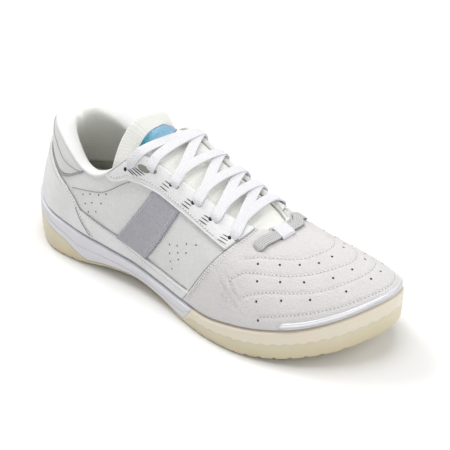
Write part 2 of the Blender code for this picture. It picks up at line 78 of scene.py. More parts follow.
# One row for each section from heel to toe, as shares of the driving sizes: the sole, then the
# upper's top edge and the way its wall bends
SOLE_COLUMNS = ("foot_x", "foot_out", "foot_in", "lift", "side", "tuck")
SOLE_ROWS = (
    (0.000, 0.000, 0.000, 0.12, 1.46, 0.012),
    (0.016, 0.142, 0.142, 0.08, 1.48, 0.010),
    (0.052, 0.257, 0.248, 0.02, 1.42, 0.006),
    (0.114, 0.343, 0.321, 0.00, 1.33, 0.004),
    (0.200, 0.366, 0.349, 0.00, 1.14, 0.016),
    (0.293, 0.358, 0.321, 0.13, 0.82, 0.044),
    (0.379, 0.358, 0.298, 0.18, 0.64, 0.053),
    (0.466, 0.390, 0.307, 0.10, 0.60, 0.037),
    (0.552, 0.445, 0.358, 0.00, 0.67, 0.014),
    (0.638, 0.490, 0.425, 0.00, 0.68, 0.004),
    (0.724, 0.499, 0.482, 0.00, 0.86, 0.004),
    (0.803, 0.454, 0.482, 0.11, 0.92, 0.006),
    (0.876, 0.366, 0.436, 0.32, 0.95, 0.008),
    (0.938, 0.232, 0.345, 0.56, 1.03, 0.010),
    (0.983, 0.070, 0.214, 0.84, 1.06, 0.012),
    (1.000, -0.069, 0.069, 1.00, 1.02, 0.014),
)
UPPER_COLUMNS = ("edge_x", "edge_out", "edge_in", "high_out", "high_in",
                 "rise", "bulge", "turn_out", "turn_in", "up_out", "up_in")
UPPER_ROWS = (
    (0.059, 0.000, 0.000, 1.000, 1.005, 0.22, 0.000, 0.70, 0.70, 0.75, 0.75),
    (0.071, 0.101, 0.101, 1.006, 1.025, 0.22, 0.000, 0.78, 0.65, 0.75, 0.75),
    (0.103, 0.188, 0.183, 0.978, 1.020, 0.24, 0.000, 0.78, 0.60, 0.75, 0.75),
    (0.155, 0.248, 0.239, 0.878, 0.950, 0.28, 0.000, 0.60, 0.45, 0.75, 0.75),
    (0.214, 0.284, 0.266, 0.783, 0.835, 0.34, 0.008, 0.25, 0.25, 0.75, 0.75),
    (0.276, 0.294, 0.270, 0.811, 0.836, 0.36, 0.014, 0.16, 0.16, 0.76, 0.76),
    (0.359, 0.225, 0.215, 1.045, 1.050, 0.36, 0.012, 0.25, 0.25, 0.80, 0.80),
    (0.403, 0.202, 0.198, 1.035, 1.055, 0.36, 0.006, 0.35, 0.50, 0.80, 0.74),
    (0.466, 0.188, 0.193, 0.972, 0.965, 0.34, 0.003, 0.45, 0.62, 0.80, 0.70),
    (0.531, 0.174, 0.188, 0.894, 0.885, 0.32, 0.000, 0.50, 0.70, 0.80, 0.66),
    (0.590, 0.160, 0.184, 0.817, 0.815, 0.30, 0.000, 0.50, 0.72, 0.78, 0.68),
    (0.641, 0.133, 0.165, 0.761, 0.763, 0.30, 0.000, 0.48, 0.70, 0.78, 0.74),
    (0.678, 0.087, 0.132, 0.736, 0.731, 0.30, 0.000, 0.42, 0.60, 0.75, 0.72),
    (0.697, 0.037, 0.095, 0.733, 0.733, 0.31, 0.000, 0.36, 0.45, 0.72, 0.66),
    (0.704, -0.005, 0.062, 0.736, 0.736, 0.33, 0.000, 0.32, 0.36, 0.70, 0.68),
    (0.705, -0.033, 0.033, 0.737, 0.737, 0.35, 0.000, 0.30, 0.30, 0.67, 0.67),
)
COLUMNS = SOLE_COLUMNS + UPPER_COLUMNS
SECTIONS = np.hstack((SOLE_ROWS, UPPER_ROWS))
TOE = len(SECTIONS) - 1
ROUND = 2 * TOE

# The midsole's side view: share of LENGTH, height over the sole's bottom layer as a share of
# SIDE_HEIGHT
WEDGE_HEEL = ((-0.02, 1.05), (0.045, 1.00), (0.105, 0.70), (0.165, 0.50), (0.235, 0.0))
WEDGE_FRONT = (0.563, 0.592)

# The gum sole's wavy step: its share of the side's height, the wave's size and its pitch
STEP_SHARE = 0.60
STEP_WAVE = 0.030
STEP_PITCH = 0.0078
TREAD_ZONES = ((0.035, 0.235), (0.575, 0.965))

# Lace holes from the toe up: section, height, and the section where the lace leaves the edge
EYELETS = ((10.27, 0.784, 10.88), (9.50, 0.835, 9.92), (8.79, 0.865, 9.07), (7.89, 0.885, 8.12),
           (6.92, 0.885, 7.14), (5.82, 0.885, 6.20))
VAMP_SEAM = (8.0, 2.2, 1.5)
CAMERA_TARGET = (0.0082, 0.0074, 0.045)
STRAP_PATH = np.array(((11.15, 0.765), (11.9, 0.885), (13.6, 0.955), (16.2, 0.950), (17.9, 0.915),
                       (19.0, 0.72)))

# The free end of the tongue, a row at a time.  Middle: x, height, how far it leans to the outer
# side.  Then outer and inner side: half width, how far the border lies back, how far it hangs
TONGUE_TIP = ((0.3665, 1.175, 0.006, 0.208, 0.208, 0.014, 0.010, 0.28, 0.24),
              (0.3590, 1.228, 0.012, 0.208, 0.208, 0.038, 0.016, 0.36, 0.23),
              (0.3530, 1.262, 0.017, 0.202, 0.204, 0.060, 0.019, 0.44, 0.20),
              (0.3490, 1.276, 0.020, 0.198, 0.198, 0.080, 0.020, 0.50, 0.17))
TONGUE_ARCH = 0.50
LACE_ARCH = 0.46

# Relief in millimetres: the collar's swell and how far it draws in at its edge; the depth and the
# half width of the toe's channels, its creases and its unevenness; the unevenness of the sides
COLLAR_SWELL = 2.3
COLLAR_DRAWN_IN = 0.9
CHANNEL_DEPTH = 0.48
CHANNEL_WIDTH = 1.5
CREASE_DEPTH = 0.75
TOE_UNEVEN = 0.14
SIDE_UNEVEN = 0.10

# The toe's wall in millimetres from the sole to its top edge, where the channels are measured, and
# the place and the reach of its creases in sections and heights
TOE_WALL = 82.0
FLEX_PLACE = (9.85, 0.36)
FLEX_REACH = (0.42, 0.17)

# Holes and stitched rows of the toe: section and height on the wall
TOE_HOLES = ((11.09, 0.66), (11.93, 0.69), (12.69, 0.69), (13.44, 0.68), (14.23, 0.70),
             (10.91, 0.51), (11.69, 0.54), (12.47, 0.54), (13.43, 0.53), (14.32, 0.55),
             (10.76, 0.33), (11.54, 0.37), (12.39, 0.37), (13.47, 0.37), (14.57, 0.40),
             (10.74, 0.14))
TOE_ROWS = (((10.50, 0.66), (11.2, 0.72), (12.0, 0.745), (13.0, 0.74), (15.0, 0.76)),
            ((9.90, 0.40), (10.0, 0.46), (10.5, 0.55), (11.2, 0.585), (12.3, 0.60), (15.0, 0.61)),
            ((10.15, 0.29), (10.45, 0.36), (10.9, 0.41), (11.5, 0.44), (13.0, 0.44), (15.0, 0.47)),
            ((10.70, 0.17), (11.1, 0.195), (11.7, 0.215), (12.6, 0.22), (13.6, 0.215),
             (15.0, 0.215)))
SIDE_HOLES = ((4.21, 0.62), (4.48, 0.68), (4.81, 0.71), (5.08, 0.72), (4.32, 0.50), (4.56, 0.56),
              (4.89, 0.59), (4.44, 0.40), (4.70, 0.45),
              (7.50, 0.39), (7.84, 0.43), (8.25, 0.50), (8.66, 0.55), (7.48, 0.32), (7.86, 0.38),
              (8.22, 0.43), (7.50, 0.26), (7.86, 0.33), (7.56, 0.21))

# Where the padded collar is sewn down on the outside, and a line of the quarter: section, height
COLLAR_SEAM = np.array(((0.0, 0.75), (0.8, 0.745), (1.4, 0.72), (2.0, 0.68), (2.5, 0.645),
                        (2.9, 0.63), (3.2, 0.66), (3.5, 0.75), (3.8, 0.90), (4.0, 0.99),
                        (ROUND, 1.0)))
QUARTER_SEAM = ((3.72, 0.60), (4.0, 0.66), (4.5, 0.73), (5.1, 0.757), (5.5, 0.745),
                (5.85, 0.725))
COLLAR_FOLD = ((0.6, 0.945), (1.4, 0.93), (2.2, 0.88), (2.9, 0.84), (3.3, 0.855), (3.64, 0.89),
               (3.95, 0.95))

# Heights on the wall where the sewn pieces begin and end, and the band's lower and upper sections
SEWN_LOW = 0.02
SEWN_HIGH = 0.985
STAY_TOP = 0.992
BAND_REAR = (5.26, 7.00)
BAND_FRONT = (6.46, 8.10)
BAND_TEETH = 26
TAPE_SECTION = 13.4

# Bars by each lace hole: millimetres ahead of it and over it, half length.  Then the longer bars
# below the top two: share of the way between them, millimetres down, half length
HOLE_BARS = ((-9.2, -6.3, 3.6), (-7.1, -3.4, 3.2), (-5.2, -0.5, 2.6))
TOP_BARS = ((0.906, 4.0, 3.4), (0.796, 4.8, 4.3), (0.687, 4.4, 4.8), (0.578, 3.8, 4.8))
HOLE_BAR_LEAN = 0.72
TOP_BAR_LEAN = 0.48

# Lamps: name, place, size, power and colour
LAMPS = (("key", (-1.1, 0.1, 1.5), 1.0, 16.0, (1.0, 0.99, 0.97)),
         ("front fill", (0.9, -1.3, 0.9), 1.4, 4.5, (0.98, 0.99, 1.0)),
         ("toe light", (1.3, 0.5, 1.0), 1.2, 9.0, (1.0, 1.0, 1.0)),
         ("overhead", (0.1, 0.0, 1.7), 1.0, 11.0, (1.0, 1.0, 1.0)))
WORLD_STRENGTH = 0.40


def ring_column(name):
    """A column carried round the whole shoe: heel, outer side, toe, inner side."""
    if name in ("foot_y", "edge_y"):
        outer = -SECTIONS[:, COLUMNS.index(name[:4] + "_out")]
        inner = SECTIONS[:, COLUMNS.index(name[:4] + "_in")]
    elif name in ("high", "turn", "up"):
        outer = SECTIONS[:, COLUMNS.index(name + "_out")]
        inner = SECTIONS[:, COLUMNS.index(name + "_in")]
    else:
        outer = SECTIONS[:, COLUMNS.index(name)]
        inner = outer
    return np.concatenate((outer, inner[-2:0:-1]))


def catmull_rom(points, t):
    """The Catmull-Rom cubic between the middle two of four points."""
    p0, p1, p2, p3 = points
    return 0.5 * (2 * p1 + (p2 - p0) * t + (2 * p0 - 5 * p1 + 4 * p2 - p3) * t ** 2
                  + (3 * p1 - p0 - 3 * p2 + p3) * t ** 3)


def hermite(start, rising, stop, falling, t):
    """The cubic from start to stop whose direction is rising at its start and falling at its
    stop."""
    return ((2 * t ** 3 - 3 * t ** 2 + 1) * start + (t ** 3 - 2 * t ** 2 + t) * rising
            + (3 * t ** 2 - 2 * t ** 3) * stop + (t ** 3 - t ** 2) * falling)


def around(name, ring):
    """A column between its rows: a closed Catmull-Rom curve through them."""
    rows = ring_column(name)
    ring = np.asarray(ring, float)
    first = np.floor(ring).astype(int)
    return catmull_rom([rows[(first + step) % ROUND] for step in (-1, 0, 1, 2)], ring - first)


def bottom_height(ring):
    """The sole's bottom edge: the toe spring times the section's share of it."""
    return TOE_SPRING * np.maximum(around("lift", ring), 0.0)


def feather_height(ring):
    """The top of the sole's side: its bottom edge plus the side's height."""
    return bottom_height(ring) + SIDE_HEIGHT * around("side", ring)


def outline(ring, inset):
    """The sole's outline in plan, drawn in by inset along its own normal."""
    step = 0.05
    x, y = LENGTH * around("foot_x", ring), BALL_WIDTH * around("foot_y", ring)
    dx = LENGTH * (around("foot_x", ring + step) - around("foot_x", ring - step))
    dy = BALL_WIDTH * (around("foot_y", ring + step) - around("foot_y", ring - step))
    size = np.hypot(dx, dy)
    return x - dy / size * inset, y + dx / size * inset


def wall(ring, height):
    """The upper's outer surface: a cubic from the sole (height 0) to the top edge (height 1)."""
    ring, height = np.broadcast_arrays(np.asarray(ring, float), np.asarray(height, float))
    foot = np.stack((*outline(ring, SET_IN), feather_height(ring) + 0.6 * MM), axis=-1)
    edge = np.stack((LENGTH * around("edge_x", ring), BALL_WIDTH * around("edge_y", ring),
                     COLLAR_HEIGHT * around("high", ring)), axis=-1)
    tall = edge[..., 2] - foot[..., 2]
    led = np.stack((*outline(ring, SET_IN - BALL_WIDTH * around("bulge", ring)),
                    foot[..., 2] + tall * around("rise", ring)), axis=-1)
    turn = foot + around("turn", ring)[..., None] * (edge - foot)
    turn[..., 2] = foot[..., 2] + tall * around("up", ring)
    t = height[..., None]
    return ((1 - t) ** 3 * foot + 3 * (1 - t) ** 2 * t * led + 3 * (1 - t) * t ** 2 * turn
            + t ** 3 * edge)


def unit(vector):
    """Vectors divided by their lengths."""
    return vector / np.maximum(np.linalg.norm(vector, axis=-1, keepdims=True), 1e-12)


def wall_normal(ring, height):
    """The wall's outward normal: the cross product of steps round the shoe and up the wall."""
    step = 0.02
    along = wall(ring + step, height) - wall(ring - step, height)
    up = wall(ring, height + step) - wall(ring, height - step)
    return unit(np.cross(along, up))


def beside(ring, height, out):
    """A point out from the wall, or inside it where out is negative."""
    ring, height = np.broadcast_arrays(np.asarray(ring, float), np.asarray(height, float))
    out = np.broadcast_to(np.asarray(out, float), ring.shape)
    return wall(ring, height) + out[..., None] * wall_normal(ring, height)


def opposite(ring):
    """The same section on the inner side of the foot."""
    return ROUND - ring


def row_middle():
    """The middle of the sole's outline, which the origin lies under."""
    x, y = outline(np.linspace(0, ROUND, 60 * ROUND, endpoint=False), 0.0)
    return np.array(((x.min() + x.max()) / 2, (y.min() + y.max()) / 2, 0.0))


MIDDLE = row_middle()


def smooth(low, high, value):
    """A soft step: 0 below low, 1 above high, with a cubic between them."""
    t = np.clip((value - low) / (high - low), 0.0, 1.0)
    return t * t * (3 - 2 * t)


def ripple(a, b, seed):
    """Soft uneven waves: a sum of six sines whose directions and phases are drawn from seed."""
    draw = np.random.default_rng(seed)
    total = 0.0
    for size in (1.0, 1.7, 2.6, 3.9, 5.3, 7.1):
        angle, phase = draw.uniform(0, 2 * math.pi, 2)
        total = total + np.sin(size * (a * math.cos(angle) + b * math.sin(angle)) + phase) / size
    return total / 2.4


def spread(length, step, edge):
    """Shares of a length, close together near its two ends and step apart between them."""
    near = np.array((0.0, 0.06, 0.2, 0.42, 0.7, 1.0)) * edge
    count = max(int((length - 2 * edge) / step), 2)
    middle = np.linspace(edge, length - edge, count + 1)[1:-1]
    return np.concatenate((near, middle, length - near[::-1])) / length


def between(table, count):
    """A smooth line through the rows of a table: Catmull-Rom with its ends repeated."""
    rows = np.vstack((table[:1], table, table[-1:])).astype(float)
    place = np.linspace(0, len(table) - 1, count)
    first = np.minimum(place.astype(int), len(table) - 2)
    t = (place - first)[:, None]
    return catmull_rom([rows[first + step] for step in range(4)], t)


def reach_along(path):
    """How far along a path each of its points lies."""
    return np.concatenate(((0.0,), np.cumsum(np.linalg.norm(np.diff(path, axis=0), axis=1))))


def relax(path, rounds):
    """A path evened out: each inner point becomes a quarter, a half and a quarter of three."""
    for _ in range(rounds):
        path[1:-1] = (path[:-2] + 2 * path[1:-1] + path[2:]) / 4
    return path


def grid_faces(rows, columns, wrap_rows=False, wrap_columns=False):
    """Corner numbers of the cells of a grid whose points are numbered row by row."""
    i = np.arange(rows if wrap_rows else rows - 1)[:, None]
    j = np.arange(columns if wrap_columns else columns - 1)[None, :]
    low, high, next_j = i * columns, (i + 1) % rows * columns, (j + 1) % columns
    corners = np.broadcast_arrays(low + j, high + j, high + next_j, low + next_j)
    return np.stack(corners, axis=-1).reshape(-1, 4)


def slab_faces(rows, columns):
    """Faces of a front grid and a back grid of the same size, closed along their four edges."""
    count = rows * columns
    front = grid_faces(rows, columns)
    back = front[:, ::-1] + count
    i, j = np.arange(rows - 1), np.arange(columns - 1)
    last_i, last_j = (rows - 1) * columns, columns - 1
    strips = []
    for start, stop in (((i + 1) * columns, i * columns),
                        (i * columns + last_j, (i + 1) * columns + last_j),
                        (j, j + 1), (last_i + j + 1, last_i + j)):
        strips.append(np.stack((start, stop, stop + count, start + count), axis=-1))
    return np.vstack([front, back] + strips)


def looks():
    """The collection that holds the pieces."""
    made = bpy.data.collections.get("shoe looks")
    if made is None:
        made = bpy.data.collections.new("shoe looks")
        bpy.context.scene.collection.children.link(made)
    return made


def combine(blocks):
    """Faces of different corner counts, one block after another."""
    return [face for block in blocks for face in block.tolist()]


def add_piece(name, points, faces, material, uv=None, values=None):
    """A mesh piece from an array of points, in the shoe's own frame, and a list of faces.  values
    holds named numbers, one for each point, for the material to read."""
    mesh = bpy.data.meshes.new(name)
    points = np.reshape(points, (-1, 3)) - MIDDLE
    mesh.from_pydata(points.tolist(), [], faces)
    mesh.shade_smooth()
    for key, numbers in (values or {}).items():
        layer = mesh.attributes.new(key, "FLOAT", "POINT")
        layer.data.foreach_set("value", np.ravel(numbers).astype(np.float32))
    if uv is not None:
        corner = np.empty(len(mesh.loops), np.int32)
        mesh.loops.foreach_get("vertex_index", corner)
        layer = mesh.uv_layers.new(name="UVMap")
        layer.data.foreach_set("uv", np.reshape(uv, (-1, 2))[corner].ravel().astype(np.float32))
    obj = bpy.data.objects.new(name, mesh)
    mesh.materials.append(material)
    looks().objects.link(obj)
    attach(obj, "root")
    return obj


def add_slab(name, front, back, material, uv=None, values=None):
    """A piece with a front grid and a back grid of the same size, closed round its border.  Both
    share the front's map; values hold the front's numbers, then the back's."""
    if uv is not None:
        uv = np.stack((uv, uv))
    return add_piece(name, np.stack((front, back)), slab_faces(*front.shape[:2]).tolist(), material,
                     uv, values)


def add_copies(name, points, quads, fans, material):
    """Many copies of one small form in a mesh: points holds a row for each copy."""
    base = (np.arange(len(points)) * points.shape[1])[:, None, None]
    blocks = ((base + quads[None]).reshape(-1, 4), (base + fans[None]).reshape(-1, 3))
    return add_piece(name, points, combine(blocks), material)


def add_panel(name, rear, front, low, high, base, top, material, turn=None, step=1.1,
              round_edge=1.2, detail=None):
    """A leather piece on the wall.  Its section runs from rear to front, functions of the share of
    the way up, and its height from low to high, functions of the share along.  It rises from base
    at its border to top inside, along a quarter circle."""
    share = np.linspace(0, 1, 60)
    middle = rear(0.5) + (front(0.5) - rear(0.5)) * share
    centre = wall(middle, low(share) + (high(share) - low(share)) * 0.5)
    long = reach_along(centre)[-1]
    section = rear(share) + (front(share) - rear(share)) * 0.5
    centre = wall(section, low(0.5) + (high(0.5) - low(0.5)) * share)
    tall = reach_along(centre)[-1]
    edge = round_edge * MM
    u = spread(long, step * MM, edge)[:, None]
    v = spread(tall, step * MM, edge)[None, :]
    section = rear(v) + (front(v) - rear(v)) * u
    height = low(u) + (high(u) - low(u)) * v
    section, height = np.broadcast_arrays(section, height)
    ring = section if turn is None else turn(section)
    rise = quarter_circle(np.minimum(u, 1 - u) * long / edge)
    rise = rise * quarter_circle(np.minimum(v, 1 - v) * tall / edge)
    out = base + (top - base) * rise
    if detail is not None:
        out = out + detail(ring, height) * rise
    points = beside(ring, height, out)
    back = beside(ring, height, base - 0.4 * MM)
    if turn is not None:
        points, back, rise = points[::-1], back[::-1], rise[::-1]
    return add_slab(name, points, back, material, values={"border": (rise, 0 * rise)})


def quarter_circle(t):
    """A quarter circle's rise from 0 at t = 0 to 1 at t = 1 and beyond."""
    return np.sqrt(1 - (1 - np.clip(t, 0, 1)) ** 2)


def line(start, stop, rise=0.0):
    """From start to stop as a share goes from 0 to 1, with a hump of rise in its middle."""
    return lambda share: start + (stop - start) * share + rise * 4 * share * (1 - share)


def vamp_seam(low, high, gap=0.0):
    """The section of the vamp's rear seam for a share of the way up from low to high."""
    first, slope, bend = VAMP_SEAM

    def section(share):
        height = low + (high - low) * share
        return first + slope * height + bend * height ** 3 + gap
    return section


def tube(path, normal, section, taper=0.0):
    """A closed section carried along a path.  section holds the offsets across it and up its
    normal; taper is how much narrower its two ends are."""
    across = unit(np.cross(normal, np.gradient(path, axis=0)))
    end = np.abs(np.linspace(-1, 1, len(path)))[:, None]
    across = across * (1 - taper * smooth(0.82, 1.0, end) ** 1.5)
    return (path[:, None, :] + across[:, None, :] * section[None, :, :1]
            + normal[:, None, :] * section[None, :, 1:2])


def tube_faces(rows, columns):
    """A tube's sides and its two ends, each filled from side to side by four-sided faces, which
    leave one triangle open where the columns are odd."""
    sides = grid_faces(rows, columns, wrap_columns=True)
    half = columns // 2
    j = np.arange(half - 1)
    start = np.stack((j, j + 1, columns - 2 - j, columns - 1 - j), axis=-1)
    stop = start[:, ::-1] + (rows - 1) * columns
    return np.vstack((sides[:, ::-1], start[:, ::-1], stop[:, ::-1]))


def oval(width, thick, count=16, power=2.6):
    """A flat rounded section: a superellipse whose lowest point is at 0."""
    angle = (np.arange(count) + 0.5) / count * 2 * math.pi
    cosine, sine = np.cos(angle), np.sin(angle)
    x = np.sign(cosine) * np.abs(cosine) ** (2 / power) * width / 2
    y = np.sign(sine) * np.abs(sine) ** (2 / power) * thick / 2 + thick / 2
    return np.stack((x, y), axis=-1)


def trail(table, out, count=240, turn=None):
    """A line on the wall through a table of sections and heights: its points and normals.  out may
    be the word toe or collar, for a line that follows the relief there."""
    rows = between(np.asarray(table), count)
    ring = rows[:, 0] if turn is None else turn(rows[:, 0])
    height = np.minimum(rows[:, 1], 1.0)
    if out == "toe":
        out = PANEL + toe_relief(ring, height)
    elif out == "collar":
        out = collar_swell(ring, height)
    return beside(ring, height, out), wall_normal(ring, height)


def even(path, normal, pitch):
    """Points a pitch apart along a path, with the normal and the tangent at each."""
    reach = reach_along(path)
    at = np.arange(pitch / 2, reach[-1], pitch)

    def read(line_of, place):
        return np.stack([np.interp(place, reach, line_of[:, k]) for k in range(3)], axis=-1)

    ahead, behind = read(path, at + 0.1 * pitch), read(path, at - 0.1 * pitch)
    return read(path, at), unit(read(normal, at)), unit(ahead - behind)


def bead(sides=6, rings=4):
    """A round bead of unit radius: rings of points between two ends, with its faces."""
    lean = np.linspace(0, math.pi, rings + 1)[1:-1]
    turn = np.arange(sides) / sides * 2 * math.pi
    ring = np.stack(np.broadcast_arrays(np.cos(lean)[:, None],
                                        np.sin(lean)[:, None] * np.cos(turn)[None, :],
                                        np.sin(lean)[:, None] * np.sin(turn)[None, :]), axis=-1)
    points = np.vstack((ring.reshape(-1, 3), ((1, 0, 0), (-1, 0, 0))))
    quads = grid_faces(rings - 1, sides, wrap_columns=True)
    j = np.arange(sides)
    k = (j + 1) % sides
    front = np.stack((j, k, 0 * j + len(points) - 2), axis=-1)
    base = (rings - 2) * sides
    back = np.stack((base + k, base + j, 0 * j + len(points) - 1), axis=-1)
    return points, quads, np.vstack((front, back))


def add_beads(name, places, size, material):
    """Many small beads in one mesh.  places holds points, normals and tangents; size is half the
    length along the tangent, half the width, and half the thickness."""
    template, quads, fans = bead()
    point, up, ahead = (np.vstack(part) for part in zip(*places))
    across = np.cross(up, ahead)
    local = template * np.array(size)
    points = (point[:, None, :] + ahead[:, None, :] * local[None, :, :1]
              + across[:, None, :] * local[None, :, 1:2] + up[:, None, :] * local[None, :, 2:])
    return add_copies(name, points, quads, fans, material)


def through(*points):
    """A smooth function of a share through these points: cubic pieces with averaged slopes."""
    x, y = np.array(points, float).T
    slope = np.gradient(y, x)

    def value(share):
        share = np.clip(np.asarray(share, float), x[0], x[-1])
        i = np.clip(np.searchsorted(x, share, side="right") - 1, 0, len(x) - 2)
        gap = x[i + 1] - x[i]
        t = (share - x[i]) / gap
        return hermite(y[i], gap * slope[i], y[i + 1], gap * slope[i + 1], t)
    return value


def section_of(ring):
    """The section, whichever side of the foot: how far round from the heel."""
    return np.minimum(ring % ROUND, ROUND - ring % ROUND)


# Borders of the leather pieces, each a value for a share of the way along or up
COUNTER_FRONT = through((0, 4.70), (0.27, 4.42), (0.69, 4.10), (0.90, 3.80), (1, 3.50))
COUNTER_TOP = through((0, 0.56), (0.1, 0.585), (0.22, 0.63), (0.33, 0.68), (0.5, 0.715),
                      (0.67, 0.68), (0.78, 0.63), (0.9, 0.585), (1, 0.56))
FOXING_TOP = through((0, 0.385), (0.16, 0.31), (0.30, 0.225), (0.43, 0.155), (0.56, 0.125),
                     (0.76, 0.12), (1, 0.13))
STAY_REAR = through((0, 5.80), (0.12, 5.60), (0.35, 5.38), (0.65, 5.25), (1, 5.20))
STAY_FRONT = vamp_seam(0.675, 0.99, -0.03)
STAY_LOW = through((0, 0.765), (0.05, 0.732), (0.14, 0.722), (0.3, 0.738), (0.5, 0.73),
                   (0.75, 0.71), (1, 0.675))


def sole_side(ring, share, inset):
    """A point of the sole's side: share is how far up it stands."""
    tuck = BALL_WIDTH * around("tuck", ring) * (1 - share) ** 2
    x, y = outline(ring, inset + tuck)
    z = bottom_height(ring) + share * SIDE_HEIGHT * around("side", ring)
    return np.stack(np.broadcast_arrays(x, y, z), axis=-1)


def cut_share(ring):
    """Where the white midsole meets the gum, as a share of the sole's side."""
    x, low, top = around("foot_x", ring), bottom_height(ring), feather_height(ring)
    places, heights = np.array(WEDGE_HEEL).T
    heel = GUM_LAYER + SIDE_HEIGHT * np.interp(x, places, heights)
    front = GUM_LAYER + (top - GUM_LAYER) * np.interp(x, WEDGE_FRONT, (0.0, 1.0))
    cut = np.maximum(np.maximum(heel, low + GUM_LAYER), front)
    return np.clip((cut - low) / (top - low), 0.0, 1.0)


def even_sections(count):
    """Ring places an equal way apart along the outer outline, then the same sections back."""
    fine = np.linspace(0, TOE, 3000)
    reach = reach_along(np.stack(outline(fine, 0.0), axis=-1))
    half = np.interp(np.linspace(0, reach[-1], count + 1), reach, fine)
    return np.concatenate((half, ROUND - half[-2:0:-1])), reach[-1] / count


def cap(rim, base, start, across):
    """Fills a closed rim from side to side.  rim holds its points, numbered from base; the new
    points are numbered from start.  Returns the new points, quads and triangles facing up."""
    count = len(rim)
    half = count // 2
    near, far = rim[1:half], rim[:half:-1]
    share = np.linspace(0, 1, across + 1)[1:-1]
    inside = near[:, None, :] + (far - near)[:, None, :] * share[None, :, None]
    number = start + np.arange((half - 1) * (across - 1)).reshape(half - 1, across - 1)
    grid = np.hstack((base + np.arange(1, half)[:, None], number,
                      base + np.arange(count - 1, half, -1)[:, None]))
    quads = np.stack((grid[:-1, :-1], grid[1:, :-1], grid[1:, 1:], grid[:-1, 1:]), axis=-1)
    heel = np.stack((np.full(across, base), grid[0, :-1], grid[0, 1:]), axis=-1)
    toe = np.stack((grid[-1, :-1], np.full(across, base + half), grid[-1, 1:]), axis=-1)
    return inside, quads.reshape(-1, 4), np.vstack((heel, toe))


def filled_rims(points, top_across, low_across):
    """Closed rims one over another, filled at the top and at the bottom.  Returns the new points
    at the top, those at the bottom, and all the faces."""
    rows, count = points.shape[:2]
    inside, top_quads, top_fans = cap(points[-1], (rows - 1) * count, rows * count, top_across)
    below, low_quads, low_fans = cap(points[0], 0, rows * count + inside.size // 3, low_across)
    sides = grid_faces(rows, count, wrap_columns=True)[:, ::-1]
    faces = combine((sides, top_quads, low_quads[:, ::-1], top_fans, low_fans[:, ::-1]))
    return inside, below, faces


def tread(x, y):
    """1 in a slot of the tread and 0 on a lug: slots straight across the shoe that bend in a
    zigzag between its sides, under the heel and under the ball."""
    bend = 0.0016 * np.abs((y / 0.020 + 0.5) % 1.0 * 2 - 1)
    width = LUG_SLOT / LUG_PITCH
    cut = 0.0
    for start, stop in TREAD_ZONES:
        place = ((x + bend - start * LENGTH) / LUG_PITCH + width / 2) % 1.0
        inside = smooth(start, start + 0.004, x / LENGTH) - smooth(stop, stop + 0.004, x / LENGTH)
        cut = cut + inside * (smooth(0, 0.04, place) - smooth(width, width + 0.04, place))
    return cut


def add_gum_sole(material):
    """The gum sole: its side in two blocks of rows, below and above a wavy step, then a ledge
    inwards; its bottom is cut by the tread."""
    ring, step = even_sections(600)
    count = len(ring)
    cut = cut_share(ring)
    forward = smooth(0.52, 0.62, around("foot_x", ring))
    reach = step * np.minimum(np.arange(count), count - np.arange(count))
    wave = STEP_SHARE + STEP_WAVE * forward * np.sin(2 * math.pi * reach / STEP_PITCH)
    wave = np.minimum(wave, 0.62 * cut)
    low_rows = np.array((0.0, 0.03, 0.08, 0.16, 0.28, 0.42, 0.56, 0.7, 0.82, 0.91, 0.97, 1.0))
    top_rows = np.array((0.0, 0.04, 0.12, 0.25, 0.4, 0.55, 0.7, 0.82, 0.9, 0.96, 1.0))
    low_share = low_rows[:, None] * (wave - 0.010)
    top_share = wave + top_rows[:, None] * (cut - wave)
    share = np.vstack((low_share, top_share, cut[None, :]))
    edge = np.interp(share, (0, 0.03, 0.08, 0.16, 1), (1.6, 0.8, 0.3, 0, 0)) * MM
    low_in = 0.35 * MM * forward * smooth(0.8, 1.0, low_rows[:, None])
    top_in = 0.25 * MM * forward * (1 - smooth(0, 0.08, top_rows[:, None]))
    top_in = top_in + 0.55 * MM * smooth(0.86, 1.0, top_rows[:, None])
    edge += np.vstack((low_in, top_in, np.full((1, count), 12 * MM)))
    points = sole_side(ring, share, edge)
    slot = bottom_height(ring) + LUG_DEPTH * tread(points[0, :, 0], points[0, :, 1])
    points[..., 2] = np.maximum(points[..., 2], slot)
    rows = len(share)
    inside, below, faces = filled_rims(points, 8, 56)
    floor = bottom_height(ring[1:count // 2])[:, None]
    below[..., 2] = floor + LUG_DEPTH * tread(below[..., 0], below[..., 1])
    flat = np.vstack([block.reshape(-1, 3) for block in (points, inside, below)])
    band = np.zeros(len(flat))
    band[len(low_rows) * count:rows * count] = np.tile(forward, rows - len(low_rows))
    level = np.zeros(len(flat))
    level[:rows * count] = share.ravel()
    piece = add_piece("gum_sole", flat, faces, material,
                      values={"band": band, "level": level})
    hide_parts("outsole")


